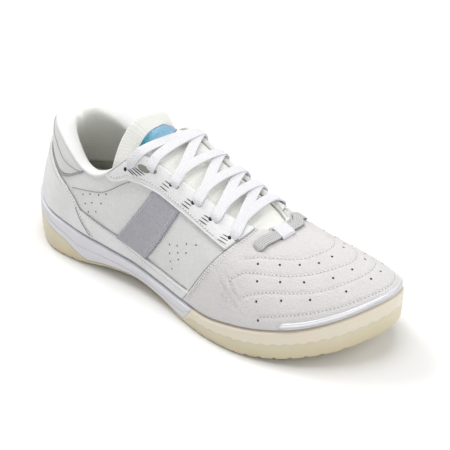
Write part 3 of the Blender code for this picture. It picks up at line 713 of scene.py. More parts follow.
def add_midsole(material):
    """The white wedge: a closed section carried round the heel from one side to the other, with
    a groove along it."""
    fine = np.linspace(0, TOE, 3000)
    front = float(np.interp(WEDGE_FRONT[1], around("foot_x", fine), fine))
    place = np.linspace(-front, front, 1000)
    ring = (place % ROUND)[:, None]
    cut = cut_share(ring)
    groove = np.maximum(0.62, cut + 0.45 * (1 - cut))
    low_rows = np.array((0.0, 0.0, 0.06, 0.18, 0.36, 0.58, 0.8, 0.93))
    top_rows = np.array((0.0, 0.06, 0.18, 0.36, 0.58, 0.8, 0.92, 0.97, 1.0, 1.0))
    share = np.hstack((cut + (groove - cut) * low_rows, groove + (1 - groove) * top_rows))
    tall = SIDE_HEIGHT * (1 - cut)
    depth = np.minimum(0.6 * MM, 0.10 * tall)
    low_in = np.array((14.0, 0.55, 0.1, 0, 0, 0, 0, 0))
    top_in = np.array((0.0, 0.0, 0, 0, 0, 0, 0.05, 0.2, 0.7, 14.0))
    inset = np.hstack((low_in, top_in)) * MM + np.zeros_like(share)
    inset[:, len(low_rows)] += depth[:, 0]
    points = sole_side(ring, share, inset)
    faces = tube_faces(*share.shape)[:, ::-1].tolist()
    piece = add_piece("midsole_wedge", points, faces, material)
    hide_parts("midsole")


def add_footbed(material):
    """A padded footbed: a closed edge that curls up towards the wall, and a dished top."""
    ring = even_sections(180)[0]
    low = feather_height(ring) + 1.2 * MM
    across = 16
    points = np.array([
        np.stack((*outline(ring, inset * MM), low + up * MM), axis=-1)
        for inset, up in ((11, 0), (8.6, 0), (7.8, 1.0), (7.8, 2.6), (8.4, 3.6), (9.6, 3.8),
                          (12, 3.2))])
    inside, below, faces = filled_rims(points, across, 4)
    share = np.linspace(0, 1, across + 1)[1:-1]
    inside[..., 2] -= 0.9 * MM * np.sin(math.pi * share)
    flat = np.vstack([block.reshape(-1, 3) for block in (points, inside, below)])
    piece = add_piece("footbed", flat, faces, material)
    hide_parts("insole")


def collar_swell(ring, height):
    """How far the padded collar stands out over its seam: a half wave up to the edge."""
    section = section_of(ring)
    seam = np.interp(section, COLLAR_SEAM[:, 0], COLLAR_SEAM[:, 1])
    share = np.clip((height - seam) / np.maximum(1 - seam, 0.02), 0, 1)
    width = 1 - smooth(3.0, 4.0, section)
    wave = np.sqrt(np.sin(math.pi * np.minimum(share, 0.78) / 1.3)) * (share > 0)
    return MM * width * (COLLAR_SWELL * wave - COLLAR_DRAWN_IN * smooth(0.7, 1.0, share))


def add_upper_shell(material):
    """One thin wall round the foot: its outer face, a rounded edge, its inner face."""
    ring = np.arange(760) / 760 * ROUND
    up = np.concatenate((np.linspace(0, 0.5, 26), np.linspace(0.515, 1.0, 42)))
    back = np.linspace(1.0, 0.0, 16)
    turn = np.linspace(0, math.pi, 6)[1:-1]
    height = np.concatenate((up, np.ones(len(turn)), back))
    out = np.concatenate((0 * up, -WALL / 2 + WALL / 2 * np.cos(turn), 0 * back - WALL))
    over = np.concatenate((0 * up, 0.8 * MM * np.sin(turn), 0 * back))
    shown = np.concatenate((np.ones(len(up)), np.zeros(len(turn) + len(back))))
    ring, height = np.meshgrid(ring, height, indexing="ij")
    path = wall(ring, height)
    detail = collar_swell(ring, height) * shown
    detail = detail + 0.12 * MM * shown * ripple(path[..., 0] / 0.012, path[..., 2] / 0.012, 3)
    rise = unit(wall(ring, 1.0) - wall(ring, 0.97))
    points = beside(ring, height, out + detail) + over[None, :, None] * rise
    rows, columns = ring.shape
    faces = grid_faces(rows, columns, wrap_rows=True, wrap_columns=True)
    inside = np.concatenate((0 * up, np.linspace(0, 1, len(turn)), 0 * back + 1))
    piece = add_piece("upper_shell", points, faces.tolist(), material,
                      values={"inside": np.tile(inside, rows)})
    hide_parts("upper")


def toe_relief(ring, height):
    """The quilted toe: a low channel along each stitched row, soft creases behind the rows'
    ends, and a slow unevenness all over."""
    section = section_of(ring)
    out = 0.0
    for row in TOE_ROWS:
        table = np.array(row)
        off = (height - np.interp(section, table[:, 0], table[:, 1])) * TOE_WALL
        reach = smooth(table[0, 0] - 0.15, table[0, 0] + 0.1, section)
        out = out - CHANNEL_DEPTH * reach * np.exp(-(off / CHANNEL_WIDTH) ** 2)
    flex = np.exp(-((section - FLEX_PLACE[0]) / FLEX_REACH[0]) ** 2
                  - ((height - FLEX_PLACE[1]) / FLEX_REACH[1]) ** 2)
    flex = flex * (ring < TOE) + 0.6 * flex * (ring > TOE)
    crease = ripple(section * 26, height * 60, 11)
    path = wall(ring, height)
    slow = ripple(path[..., 0] / 0.010, path[..., 1] / 0.012, 5)
    return MM * (out + CREASE_DEPTH * flex * crease + TOE_UNEVEN * slow)


def side_relief(ring, height):
    """A slow unevenness of stretched leather."""
    path = wall(ring, height)
    return SIDE_UNEVEN * MM * ripple(path[..., 0] / 0.009, path[..., 2] / 0.009, 8)


def zigzag(edge, teeth, size):
    """A border with pinked teeth: a triangle wave added to it."""
    return lambda share: edge(share) + size * (np.abs(share * teeth % 1.0 * 2 - 1) - 0.5)


def add_leather_pieces(leather_finish, suede_finish, gloss_finish, grey_finish):
    """Every flat piece that is sewn on the wall."""
    low = line(SEWN_LOW, SEWN_LOW)
    seam = vamp_seam(SEWN_LOW, SEWN_HIGH)
    piece = add_panel("vamp_suede", seam, lambda share: ROUND - seam(share), low,
                      line(SEWN_HIGH, SEWN_HIGH), 0.2 * MM, PANEL, suede_finish,
                      step=0.95, round_edge=1.0, detail=toe_relief)
    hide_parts("vamp")
    piece = add_panel("toe_strip", through((0, 11.45), (0.5, 11.30), (1, 11.45)),
                      through((0, 18.55), (0.5, 18.70), (1, 18.55)), line(0.025, 0.025),
                      line(0.125, 0.15, 0.01), PANEL - 0.3 * MM, GUARD, gloss_finish,
                      step=0.8, round_edge=2.2)
    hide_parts("toe_guard")
    piece = add_panel("heel_counter_leather", lambda share: -COUNTER_FRONT(share), COUNTER_FRONT,
                      low, COUNTER_TOP, 0.2 * MM, PANEL, leather_finish,
                      round_edge=0.9, detail=side_relief)
    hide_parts("heel_counter")
    for side, turn in (("lateral", None), ("medial", opposite)):
        piece = add_panel("foxing_leather_" + side, through((0, 4.45), (1, 3.95)),
                          vamp_seam(SEWN_LOW, 0.14, -0.02), low, FOXING_TOP, 0.1 * MM,
                          PANEL - 0.2 * MM, leather_finish, turn, round_edge=0.8)
        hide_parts("foxing_" + side)
        piece = add_panel("eyestay_leather_" + side, STAY_REAR, STAY_FRONT, STAY_LOW,
                          line(STAY_TOP, STAY_TOP), 0.3 * MM, STAY, leather_finish,
                          turn, step=0.9, round_edge=1.1, detail=side_relief)
        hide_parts("eyestay_" + side)
        rear, front = (zigzag(line(*sections), BAND_TEETH, 0.075)
                       for sections in (BAND_REAR, BAND_FRONT))
        piece = add_panel("side_band_leather_" + side, rear, front, line(0.15, 0.12),
                          line(0.76, 0.73), 0.2 * MM, BAND, grey_finish, turn,
                          step=0.40, round_edge=0.5)
        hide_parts("side_band_" + side)


def closed_curve(points, count):
    """Closed rows of points made smooth: a Catmull-Rom curve round each row."""
    columns = points.shape[1]
    place = np.arange(count) / count * columns
    first = place.astype(int)
    t = (place - first)[None, :, None]
    return catmull_rom([points[:, (first + step) % columns] for step in (-1, 0, 1, 2)], t), place


def add_collar(material):
    """The padded roll over the upper's edge, a rounded section carried round the heel that gets
    thinner towards the throat."""
    place = np.linspace(-1.09 * PAD_END, 1.09 * PAD_END, 340)
    ring = np.where(place < 0, place + ROUND, place)
    nearness = np.abs(place) / PAD_END
    thick = PAD * (1.45 - 1.11 * nearness ** 1.5)
    inner = -(WALL + 0.3 * MM)
    edge, out = wall(ring, 1.0), wall_normal(ring, 1.0)
    up = unit(wall(ring, 1.0) - wall(ring, 0.97))
    depth = 1 - 0.5 * nearness ** 3
    fade = 1 - 0.75 * smooth(0.88, 1.09, nearness)[:, None]

    def crest(outward, upward):
        """A point beside the wall's top edge, outward along its normal and upward along it."""
        return edge + (outward + 0 * thick)[:, None] * out + upward * fade * up

    sections = np.stack((
        beside(ring, 1 - 0.86 * depth, inner + 0 * thick),
        beside(ring, 1 - 0.45 * depth, inner + 0 * thick),
        beside(ring, 1 - 0.08 * depth, inner + 0 * thick),
        crest(inner, 0.8 * MM),
        crest(1.1 * MM, 0.2 * MM),
        crest(0.9 * MM, PAD_CREST * 0.55),
        crest(inner - 0.30 * thick, PAD_CREST),
        crest(inner - 0.85 * thick, PAD_CREST * 0.55),
        beside(ring, 1 - 0.12 * depth, inner - thick),
        beside(ring, 1 - 0.38 * depth, inner - 0.80 * thick),
        beside(ring, 1 - 0.66 * depth, inner - 0.42 * thick)), axis=1)
    points, around_it = closed_curve(sections, 55)
    rows, columns = points.shape[:2]
    reach = reach_along(points[:, 0])
    round_it = around_it / sections.shape[1] * 0.072
    uv = np.stack(np.broadcast_arrays(reach[:, None], round_it[None, :]), axis=-1)
    inside = np.broadcast_to(smooth(6.5, 6.7, around_it) + 0 * around_it, (rows, columns))
    middle = columns // 2
    tip = np.array(((middle - 1, middle, middle + 1),))
    blocks = (tube_faces(rows, columns)[:, ::-1], tip, tip[:, ::-1] + (rows - 1) * columns)
    piece = add_piece("collar_roll", points, combine(blocks), material, uv=uv,
                      values={"inside": inside})
    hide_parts("collar_pad")


def arch(start, rising, stop, falling, puff, count):
    """From one side of the throat to the other: a cubic that leaves each side along its own
    direction, pulled by puff times the span."""
    t = np.linspace(0, 1, count)[:, None]
    pull = puff * np.linalg.norm(stop - start)
    return hermite(start, pull * rising, stop, -pull * falling, t)


def tongue_rows():
    """Cross rows of the tongue's upper face: a wing under each edge of the throat, an arch between
    them, and the free end."""
    inner = -(WALL + 0.45 * MM)
    rows = []
    for section in np.linspace(14.0, 6.75, 11):
        sides = []
        for ring in (section, opposite(section)):
            wing = beside(ring, np.array((0.80, 0.90, 0.96, 1.0)), inner)
            sides.append((wing[:2], wing[3], unit(wing[3] - wing[2])))
        (near, start, rising), (far, stop, falling) = sides
        middle = arch(start, rising, stop, falling, TONGUE_ARCH, 9)
        rows.append(np.vstack((near, middle, far[::-1])))
    share = np.linspace(-1, 1, 13)
    off = np.abs(share)
    bend = np.where(share < 0, off ** 3.6, 0.75 * off ** 1.3 + 0.25 * off ** 5)
    for x, high, lean, *sides in TONGUE_TIP:
        half, back, hang = (np.where(share < 0, *pair) for pair in zip(sides[::2], sides[1::2]))
        rows.append(np.stack((LENGTH * (x - back * off ** 1.5), BALL_WIDTH * (half * share - lean),
                              COLLAR_HEIGHT * (high - hang * bend)), axis=-1))
    return np.array(rows)


def refine(grid, rows, columns):
    """A grid of points made smooth and dense, first down its rows, then across."""
    first = between(grid.reshape(len(grid), -1), rows).reshape(rows, -1, 3)
    turned = first.transpose(1, 0, 2)
    second = between(turned.reshape(len(turned), -1), columns).reshape(columns, rows, 3)
    return second.transpose(1, 0, 2)


def grid_normals(grid):
    """Upward normals of the tongue's grid: across it times along it."""
    return unit(np.cross(np.gradient(grid, axis=1), np.gradient(grid, axis=0)))


def tongue_face(thickness):
    """The tongue's underside and its upper face, both dense: they meet in a quarter circle round
    its border, and the free end is stuffed fuller."""
    base = refine(tongue_rows(), 230, 150)
    normal = grid_normals(base)
    rows, columns = base.shape[:2]
    u, v = np.linspace(0, 1, rows)[:, None], np.linspace(0, 1, columns)[None, :]
    free = smooth(0.74, 1.0, u)
    puff = 1.6 * MM * free * np.sin(math.pi * v)
    rim = np.minimum(np.minimum((1 - u) * 0.150, 0.05), np.minimum(v, 1 - v) * 0.075)
    rise = quarter_circle(rim / 0.0045)
    dent = 0.30 * MM * ripple(u * 16 + 0 * v, v * 9 + 0 * u, 21)
    middle = base - normal * thickness / 2
    top = middle + normal * ((thickness / 2 + puff + dent) * rise)[..., None]
    under = middle - normal * (thickness / 2 * rise)[..., None]
    return under, top


def add_tongue(material, thickness):
    """The padded tongue: two faces that meet in a rounded border."""
    under, top = tongue_face(thickness)
    rows, columns = top.shape[:2]
    down, over = reach_along(top[:, columns // 2]), reach_along(top[rows // 2])
    uv = np.stack(np.broadcast_arrays(down[:, None], over[None, :]), axis=-1)
    piece = add_slab("tongue_pad", top[:, ::-1], under[:, ::-1], material,
                     uv[:, ::-1])
    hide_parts("tongue")


def sample(grid, rows, columns):
    """Points of a dense grid read at fractional rows and columns."""
    i = np.clip(rows.astype(int), 0, grid.shape[0] - 2)
    j = np.clip(columns.astype(int), 0, grid.shape[1] - 2)
    s, t = (rows - i)[..., None], (columns - j)[..., None]
    return ((grid[i, j] * (1 - t) + grid[i, j + 1] * t) * (1 - s)
            + (grid[i + 1, j] * (1 - t) + grid[i + 1, j + 1] * t) * s)


def add_tongue_patch(material, thickness):
    """A lens shaped patch across the tongue: its middle is a parabola in the tongue's own rows and
    columns, and its half width a sine along its length."""
    top = tongue_face(thickness)[1]
    normal = grid_normals(top)
    u = np.linspace(0, 1, 110)[:, None]
    v = np.linspace(-1, 1, 26)[None, :]
    lens = 0.62 * np.maximum(np.sin(math.pi * u), 0) ** 0.85 + 0.02
    rows = 11.3 - 3.0 * u + 3.3 * u ** 2 + v * lens
    last_row, last_column = 14, 12
    rows = rows / last_row * (top.shape[0] - 1)
    columns = (0.9 + 9.6 * u + 0 * v) / last_column * (top.shape[1] - 1)
    face, up = sample(top, rows, columns), unit(sample(normal, rows, columns))
    edge = quarter_circle((1 - np.abs(v)) * 3.0) * quarter_circle(np.minimum(u, 1 - u) * 14)
    front = face + up * (0.2 * MM + 0.5 * MM * edge)[..., None]
    back = face - up * 0.2 * MM
    uv = np.stack(np.broadcast_arrays(u, v / 2 + 0.5), axis=-1)
    piece = add_slab("tongue_lens", front[::-1], back[::-1], material, uv[::-1],
                     {"edge": (edge, edge)})
    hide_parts("tongue_patch")


def add_strip(name, runs, section, material, node=None, taper=0.0):
    """Closed strips in one piece.  Each run is a path and its normals; section is carried along
    it.  The map holds the length along the strip and the place across it, in metres."""
    points, faces, uv, base = [], [], [], 0
    for path, normal in runs:
        body = tube(path, normal, section, taper)
        place = np.broadcast_arrays(reach_along(path)[:, None], section[None, :, 0])
        points.append(body.reshape(-1, 3))
        faces.append(tube_faces(*body.shape[:2]) + base)
        uv.append(np.stack(place, axis=-1).reshape(-1, 2))
        base += body.shape[0] * body.shape[1]
    piece = add_piece(name, np.vstack(points), np.vstack(faces).tolist(), material,
                      uv=np.vstack(uv))
    if node:
        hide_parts(node)
    return piece


def throat_axis():
    """Down the throat, from its top to its foot."""
    top = (wall(6.0, 1.0) + wall(opposite(6.0), 1.0)) / 2
    foot = (wall(12.0, 1.0) + wall(opposite(12.0), 1.0)) / 2
    return unit(foot - top)


def lace_run(start, stop, over, puff, sink):
    """From a lace hole on the outer side, where it dives in, over the tongue to one on the inner
    side.  sink lowers its middle."""
    sides = []
    for (section, height, leave), turn in ((start, lambda ring: ring), (stop, opposite)):
        share = np.array((0.0, 0.35, 1.0))
        height_at = height + (1 - height) * share
        points = beside(turn(section + (leave - section) * share), height_at,
                        np.array((over - 2.0 * MM, over + 0.5 * MM, over)))
        sides.append((points, unit(points[2] - points[1])))
    (near, rising), (far, falling) = sides
    middle = arch(near[2], rising, far[2], falling, puff, 9)
    path = between(np.vstack((near[:2], middle, far[1::-1])), 110)
    normal = unit(np.cross(throat_axis(), np.gradient(path, axis=0)))
    share = np.linspace(0, 1, len(path))[:, None]
    return path - normal * sink * np.sin(math.pi * share) ** 2, normal


def add_laces(material, width, thickness):
    """Flat laces: bars from hole to hole, and slanted runs beneath them to the next hole."""
    over = STAY + 0.4 * MM
    runs = []
    for number, hole in enumerate(EYELETS[:-1]):
        path, normal = lace_run(hole, hole, over, LACE_ARCH, -0.5 * MM)
        sway = 0.8 * MM * np.sin(np.linspace(0, 2 * math.pi, len(path)) + number)[:, None]
        runs.append((path + throat_axis() * sway, normal))
    pairs = list(zip(EYELETS[:-2], EYELETS[1:-1])) + [(EYELETS[-1], EYELETS[-2])]
    for start, stop in pairs:
        runs.append(lace_run(start, stop, over - 0.2 * MM, LACE_ARCH, 0.7 * MM))
    add_strip("laces_flat", runs, oval(width, thickness, 20, 3.2), material, "laces",
              taper=0.45)


def add_strap(material, tape, width):
    """A ribbed strap across the throat's foot that dips into the vamp at its ends, and a small
    loop of tape over its middle."""
    rows = between(STRAP_PATH, 150)
    ring, height = rows[:, 0], np.minimum(rows[:, 1], 1.0)
    share = np.linspace(0, 1, len(rows))
    dip = 2.4 * MM * (1 - smooth(0, 0.07, share) + smooth(0.93, 1, share))
    path = relax(beside(ring, height, PANEL + 0.6 * MM - dip), 30)
    add_strip("webbing_strap_ribbed", [(path, wall_normal(ring, height))],
              oval(width, 1.5 * MM, 24, 3.5), material, "webbing_strap",
              taper=0.70)
    height = np.linspace(0.995, 0.912, 60)
    raised = np.clip(4.0 * np.sin(np.linspace(0, math.pi, 60)), 0, 1) ** 0.7 * 1.8 * MM
    path = relax(beside(TAPE_SECTION, height, PANEL + raised), 8)
    add_strip("loop_tape", [(path, wall_normal(TAPE_SECTION, height))],
              oval(10.0 * MM, 0.9 * MM, 20, 4.0), tape, "loop_tab")


def both(table, out):
    """A line on each side of the foot through the same sections and heights."""
    return [trail(table, out), trail(table, out, turn=opposite)]


def border(section, height, count=60):
    """A table of sections and heights from two functions of the same share."""
    share = np.linspace(0, 1, count)
    return np.stack((section(share) + 0 * share, height(share) + 0 * share), axis=-1)


def seam_table(low, high, gap):
    """A line beside the vamp's rear seam."""
    return border(vamp_seam(low, high, gap), line(low, high))


def mirrored(row):
    """A row of the toe carried over to the inner side."""
    table = np.array(row)
    back = np.stack((ROUND - table[-2::-1, 0], table[-2::-1, 1]), axis=-1)
    return np.vstack((table, back))


def add_seam_lines(material):
    """Thin lines of painted shade where one leather piece ends on the next: half sunk flat tubes.
    """
    counter = border(COUNTER_FRONT, line(0.02, 0.56)) + (0.03, 0)
    across = border(line(-3.5, 3.5), COUNTER_TOP, 120) + (0, 0.008)
    foxing = border(line(4.0, 8.2), FOXING_TOP) + (0, 0.010)
    collar = COLLAR_SEAM[:-1]
    collar_line = np.vstack((np.stack((-collar[:0:-1, 0], collar[:0:-1, 1]), axis=-1), collar))
    roll = [trail(collar_line + (0, drop), 0.2 * MM, 400) for drop in (-0.006, -0.036)]
    runs = [trail(across, 0.3 * MM)] + roll
    heel = border(through((0, 4.52), (0.4, 4.28), (1, 4.02)), line(0.05, 0.385), 30)
    for table, out in ((counter, 0.3 * MM), (foxing, 0.3 * MM), (np.array(QUARTER_SEAM), 0.0),
                       (heel, PANEL + 0.1 * MM),
                       (seam_table(0.03, 0.98, -0.02), 0.3 * MM), (COLLAR_FOLD, "collar")):
        runs += both(table, out)
    add_strip("seam_lines", runs, oval(0.55 * MM, 0.35 * MM, 8, 2.0), material)


def add_edge_cords(material):
    """The folded lower edge of each eyestay: a rounded cord along its border."""
    low = border(line(STAY_REAR(0.0), STAY_FRONT(0.0)), STAY_LOW, 90)
    rear = border(STAY_REAR, line(STAY_LOW(0.0), STAY_TOP), 30)[:0:-1]
    runs = both(np.vstack((rear, low)), STAY - 1.1 * MM)
    add_strip("eyestay_edges", runs, oval(1.25 * MM, 1.35 * MM, 12, 2.0), material)


def stitch_rows():
    """The sewn rows: table, height over the wall, pitch in millimetres, and whether both sides
    have it."""
    stay_low = border(line(5.95, 9.4), lambda share: STAY_LOW(0.05 + 0.95 * share) + 0.045)
    rows = [(stay_low, STAY, 2.3, True),
            (border(STAY_REAR, line(0.80, 0.97)) + (0.09, 0.0), STAY, 2.3, True),
            (seam_table(0.04, 0.97, 0.055), PANEL - 0.05 * MM, 2.1, True),
            (seam_table(0.04, 0.97, 0.125), PANEL - 0.05 * MM, 2.1, True),
            (border(COUNTER_FRONT, line(0.04, 0.56)) + (-0.07, 0.0), PANEL, 2.2, True),
            (border(line(-3.35, 3.35), COUNTER_TOP, 120) + (0, -0.03), PANEL, 2.2, False),
            (border(line(4.35, 7.9), FOXING_TOP) + (0, -0.03), PANEL - 0.2 * MM, 2.2, True)]
    return rows + [(mirrored(row), "toe", 2.5, False) for row in TOE_ROWS]


def leaned(up, ahead, angle):
    """Directions turned to one side and the other by turns: a zigzag."""
    turn = angle * np.where(np.arange(len(ahead)) % 2, 1, -1)[:, None]
    return ahead * np.cos(turn) + np.cross(up, ahead) * np.sin(turn)


def add_stitching(thread, dark, band_thread):
    """Stitches along every sewn row with a needle hole between them."""
    stitches, needle = [], []
    for table, out, pitch, two in stitch_rows():
        lines = both(table, out) if two else [trail(table, out, 500)]
        for path, normal in lines:
            point, up, ahead = even(path, normal, pitch * MM)
            lean = leaned(up, ahead, 0.55) if out == "toe" else ahead
            stitches.append((point + up * 0.20 * MM, up, lean))
            needle.append((point + ahead * pitch * MM / 2 + up * 0.06 * MM, up, ahead))
    add_beads("stitches", stitches, (0.85 * MM, 0.34 * MM, 0.24 * MM), thread)
    edges, marks = [], []
    for (start, stop), offset in ((BAND_REAR, 0.12), (BAND_FRONT, 0.0)):
        table = border(line(start, stop - 0.10), line(0.18, 0.73)) + (offset, 0)
        for path, normal in both(table, BAND):
            point, up, ahead = even(path, normal, 1.5 * MM)
            edges.append((point + up * 0.05 * MM, up, leaned(up, ahead, 0.8)))
            marks.append((point[::2] + up[::2] * 0.12 * MM, up[::2], ahead[::2]))
    add_beads("band_stitches", edges, (0.9 * MM, 0.25 * MM, 0.2 * MM), band_thread)
    add_beads("needle_holes", needle + marks, (0.34 * MM, 0.34 * MM, 0.10 * MM), dark)


def on_wall(table, out):
    """Points, normals and a direction up the wall for single places."""
    table = np.array(table, float)
    ring, height = table[:, 0], table[:, 1]
    up = wall_normal(ring, height)
    ahead = unit(wall(ring, height + 0.01) - wall(ring, height - 0.01))
    return beside(ring, height, out), up, ahead


def flipped(table):
    """The same places on the inner side of the foot."""
    return [(ROUND - ring, height) for ring, height in table]


def add_holes(dark, grey):
    """Pinholes of the toe and the sides, and the lace holes: flat dark beads in the surface."""
    toe = list(TOE_HOLES) + flipped(TOE_HOLES)
    place = np.array(toe)
    toe_places = on_wall(toe, PANEL + 0.03 * MM + toe_relief(place[:, 0], place[:, 1]))
    add_beads("toe_pinholes", [toe_places], (0.85 * MM, 0.75 * MM, 0.12 * MM), dark)
    sides = list(SIDE_HOLES) + flipped(SIDE_HOLES)
    add_beads("side_pinholes", [on_wall(sides, 0.08 * MM)], (0.60 * MM, 0.55 * MM, 0.10 * MM),
              dark)
    holes = [hole[:2] for hole in EYELETS]
    rear = [step_along(hole, -2.5, -0.2) for hole in holes]
    front = [step_along(hole, 2.7, 1.0) for hole in holes[:-1]]
    add_beads("lace_holes", [on_wall(rear + flipped(rear), STAY + 0.02 * MM)],
              (1.5 * MM, 1.4 * MM, 0.2 * MM), dark)
    # Grey beads ahead of each lace hole: painted shade under the lace's edge.
    add_beads("lace_edge_shade", [on_wall(front + flipped(front), STAY + 0.02 * MM)],
              (1.4 * MM, 1.5 * MM, 0.2 * MM), grey)


def step_along(place, ahead, up):
    """A section and height moved by millimetres along the wall and up it."""
    section, height = place
    along = np.linalg.norm(wall(section + 0.05, height) - wall(section - 0.05, height)) / 0.1
    rise = np.linalg.norm(wall(section, height + 0.02) - wall(section, height - 0.02)) / 0.04
    return section + ahead * MM / along, height + up * MM / rise


def add_hatching(shadow, grey):
    """Slanted bars beside each lace hole, and a longer row of them below the top two."""
    last, top = np.array(EYELETS[-2:])[:, :2]
    bars = [(step_along(hole[:2], ahead, up), length, 0.36, HOLE_BAR_LEAN)
            for hole in EYELETS[:-2] for ahead, up, length in HOLE_BARS]
    bars += [(step_along(last + (top - last) * share, 0.0, -drop), length, 0.42, TOP_BAR_LEAN)
             for share, drop, length in TOP_BARS]
    window = [(step_along(last + (top - last) * 0.40, 0.0, -1.4), 4.9, 2.1, TOP_BAR_LEAN)]
    for name, table, material in (("eyelet_bars", bars, shadow), ("eyelet_window", window, grey)):
        add_bars(name, table, material)


def add_bars(name, bars, material):
    """Flat bars on both sides of the foot.  bars holds the place, half the length and half the
    width in millimetres, and how far each leans down towards the toe."""
    template, quads, fans = bead(12, 8)
    places, length, half, lean = zip(*bars)
    size = np.stack((length, half, np.full(len(bars), 0.12)), axis=-1) * MM
    lean = np.array(lean)[:, None]
    points = []
    for side in (places, flipped(places)):
        point, up, ahead = on_wall(side, STAY + 0.03 * MM)
        along = np.cross(ahead, up)
        along = np.where(along[:, :1] > 0, along, -along)
        tilt = unit(along * np.cos(lean) - ahead * np.sin(lean))
        frame_of = np.stack((tilt, np.cross(up, tilt), up), axis=1)
        points.append(point[:, None, :] + (template * size[:, None, :]) @ frame_of)
    add_copies(name, np.vstack(points), quads, fans, material)


def new_finish(name, colour, roughness, **sockets):
    """A material and its Principled shader, with these values on the shader's sockets."""
    material = bpy.data.materials.new(name)
    material.use_nodes = True
    shader = material.node_tree.nodes["Principled BSDF"]
    shader.inputs["Base Color"].default_value = (*colour[:3], 1.0)
    shader.inputs["Roughness"].default_value = roughness
    for socket, value in sockets.items():
        shader.inputs[socket.replace("_", " ")].default_value = value
    material.diffuse_color = (*colour[:3], 1.0)
    return material, shader


def node(material, kind, inputs, **settings):
    """A node with these settings; an input is a number, a colour or another node's socket."""
    made = material.node_tree.nodes.new(kind)
    for name, value in settings.items():
        setattr(made, name, value)
    for name, value in inputs.items():
        if isinstance(value, bpy.types.NodeSocket):
            material.node_tree.links.new(value, made.inputs[name])
        else:
            made.inputs[name].default_value = value
    return made


def coordinates(material, kind="Object"):
    """The place on the piece: its object's or its map's."""
    return node(material, "ShaderNodeTexCoord", {}).outputs[kind]


def noise(material, place, scale, detail=2.0):
    """Cloudy noise from 0 to 1."""
    return node(material, "ShaderNodeTexNoise",
                {"Vector": place, "Scale": scale, "Detail": detail}).outputs[0]


def cells(material, place, scale):
    """The distance to the middle of the nearest cell."""
    return node(material, "ShaderNodeTexVoronoi",
                {"Vector": place, "Scale": scale}).outputs["Distance"]


def remap(material, value, low, high, first=0.0, last=1.0):
    """A value from low to high carried over to first to last, and held there beyond."""
    return node(material, "ShaderNodeMapRange",
                {"Value": value, "From Min": low, "From Max": high, "To Min": first,
                 "To Max": last}).outputs[0]


def calculate(material, operation, first, second=0.0):
    """A sum, a sine or another reckoning."""
    return node(material, "ShaderNodeMath", {0: first, 1: second},
                operation=operation).outputs[0]


def times(material, first, second):
    """A product."""
    return calculate(material, "MULTIPLY", first, second)


def mix(material, share, first, second):
    """A colour between two others."""
    first, second = (value if isinstance(value, bpy.types.NodeSocket) else (*value[:3], 1.0)
                     for value in (first, second))
    return node(material, "ShaderNodeMix", {0: share, 6: first, 7: second},
                data_type="RGBA").outputs[2]


def bump(material, height, depth, strength=1.0, normal=None):
    """A relief as deep as depth, over another one where its normal is given."""
    inputs = {"Height": height, "Distance": depth, "Strength": strength}
    if normal is not None:
        inputs["Normal"] = normal
    return node(material, "ShaderNodeBump", inputs).outputs[0]


def attribute(material, name):
    """A piece's own numbers of this name."""
    return node(material, "ShaderNodeAttribute", {}, attribute_name=name).outputs["Fac"]


def shade(colour, share):
    """The same colour, darker."""
    return tuple(channel * share for channel in colour[:3])


def dress(material, shader, **sockets):
    """Links nodes' outputs to the shader's sockets."""
    for name, socket in sockets.items():
        material.node_tree.links.new(socket, shader.inputs[name.replace("_", " ")])
    return material


def map_axes(material):
    """The place along a piece's own map and the place across it."""
    split = node(material, "ShaderNodeSeparateXYZ", {0: coordinates(material, "UV")})
    return split.outputs[0], split.outputs[1]


def leather(name, colour, roughness, grain=820.0, depth=0.14, mottle=0.35, lining=None):
    """Smooth leather: fine cell grain, flecks, faint scuffs in its colour, patches in its gloss,
    and a lining colour on the inner face where one is given."""
    made = bpy.data.materials.get(name)
    if made is not None:
        return made
    material, shader = new_finish(name, colour, roughness, Specular_IOR_Level=0.42,
                                  Coat_Weight=0.06, Coat_Roughness=0.35)
    place = coordinates(material)
    pores, broad = cells(material, place, grain), noise(material, place, 46.0, 4.0)
    scuff = remap(material, noise(material, place, 160.0, 5.0), 0.50, 0.70)
    tint = mix(material, remap(material, broad, 0.35, 0.7), colour, shade(colour, 0.93))
    fleck = remap(material, noise(material, place, 620.0, 3.0), 0.40, 0.68)
    tint = mix(material, times(material, fleck, mottle), tint, shade(colour, 0.80))
    face = mix(material, times(material, scuff, 0.4), tint, shade(colour, 0.90))
    if lining is not None:
        cloth = mix(material, noise(material, place, 900.0), lining, shade(lining, 0.85))
        face = mix(material, attribute(material, "inside"), face, cloth)
    dullness = remap(material, broad, 0.3, 0.75, roughness - 0.05, roughness + 0.10)
    fine = bump(material, pores, depth * MM)
    return dress(material, shader, Base_Color=face, Roughness=dullness,
                 Normal=bump(material, broad, 0.5 * MM, 0.5, fine))


def suede(name, colour):
    """Napped suede: cloudy short pile, a soft sheen and a fine rough relief."""
    material, shader = new_finish(name, colour, 0.88, Sheen_Weight=0.25, Sheen_Roughness=0.5,
                                  Specular_IOR_Level=0.25)
    place = coordinates(material)
    cloud, pile = noise(material, place, 60.0, 5.0), noise(material, place, 2300.0, 3.0)
    speck = noise(material, place, 900.0, 2.0)
    tint = mix(material, remap(material, cloud, 0.32, 0.7), colour, shade(colour, 0.93))
    warm = (colour[0] * 0.96, colour[1] * 0.925, colour[2] * 0.925)
    nap = mix(material, remap(material, speck, 0.35, 0.7), tint, warm)
    fine = bump(material, pile, 0.30 * MM)
    return dress(material, shader, Base_Color=nap,
                 Normal=bump(material, speck, 0.70 * MM, 0.8, fine))


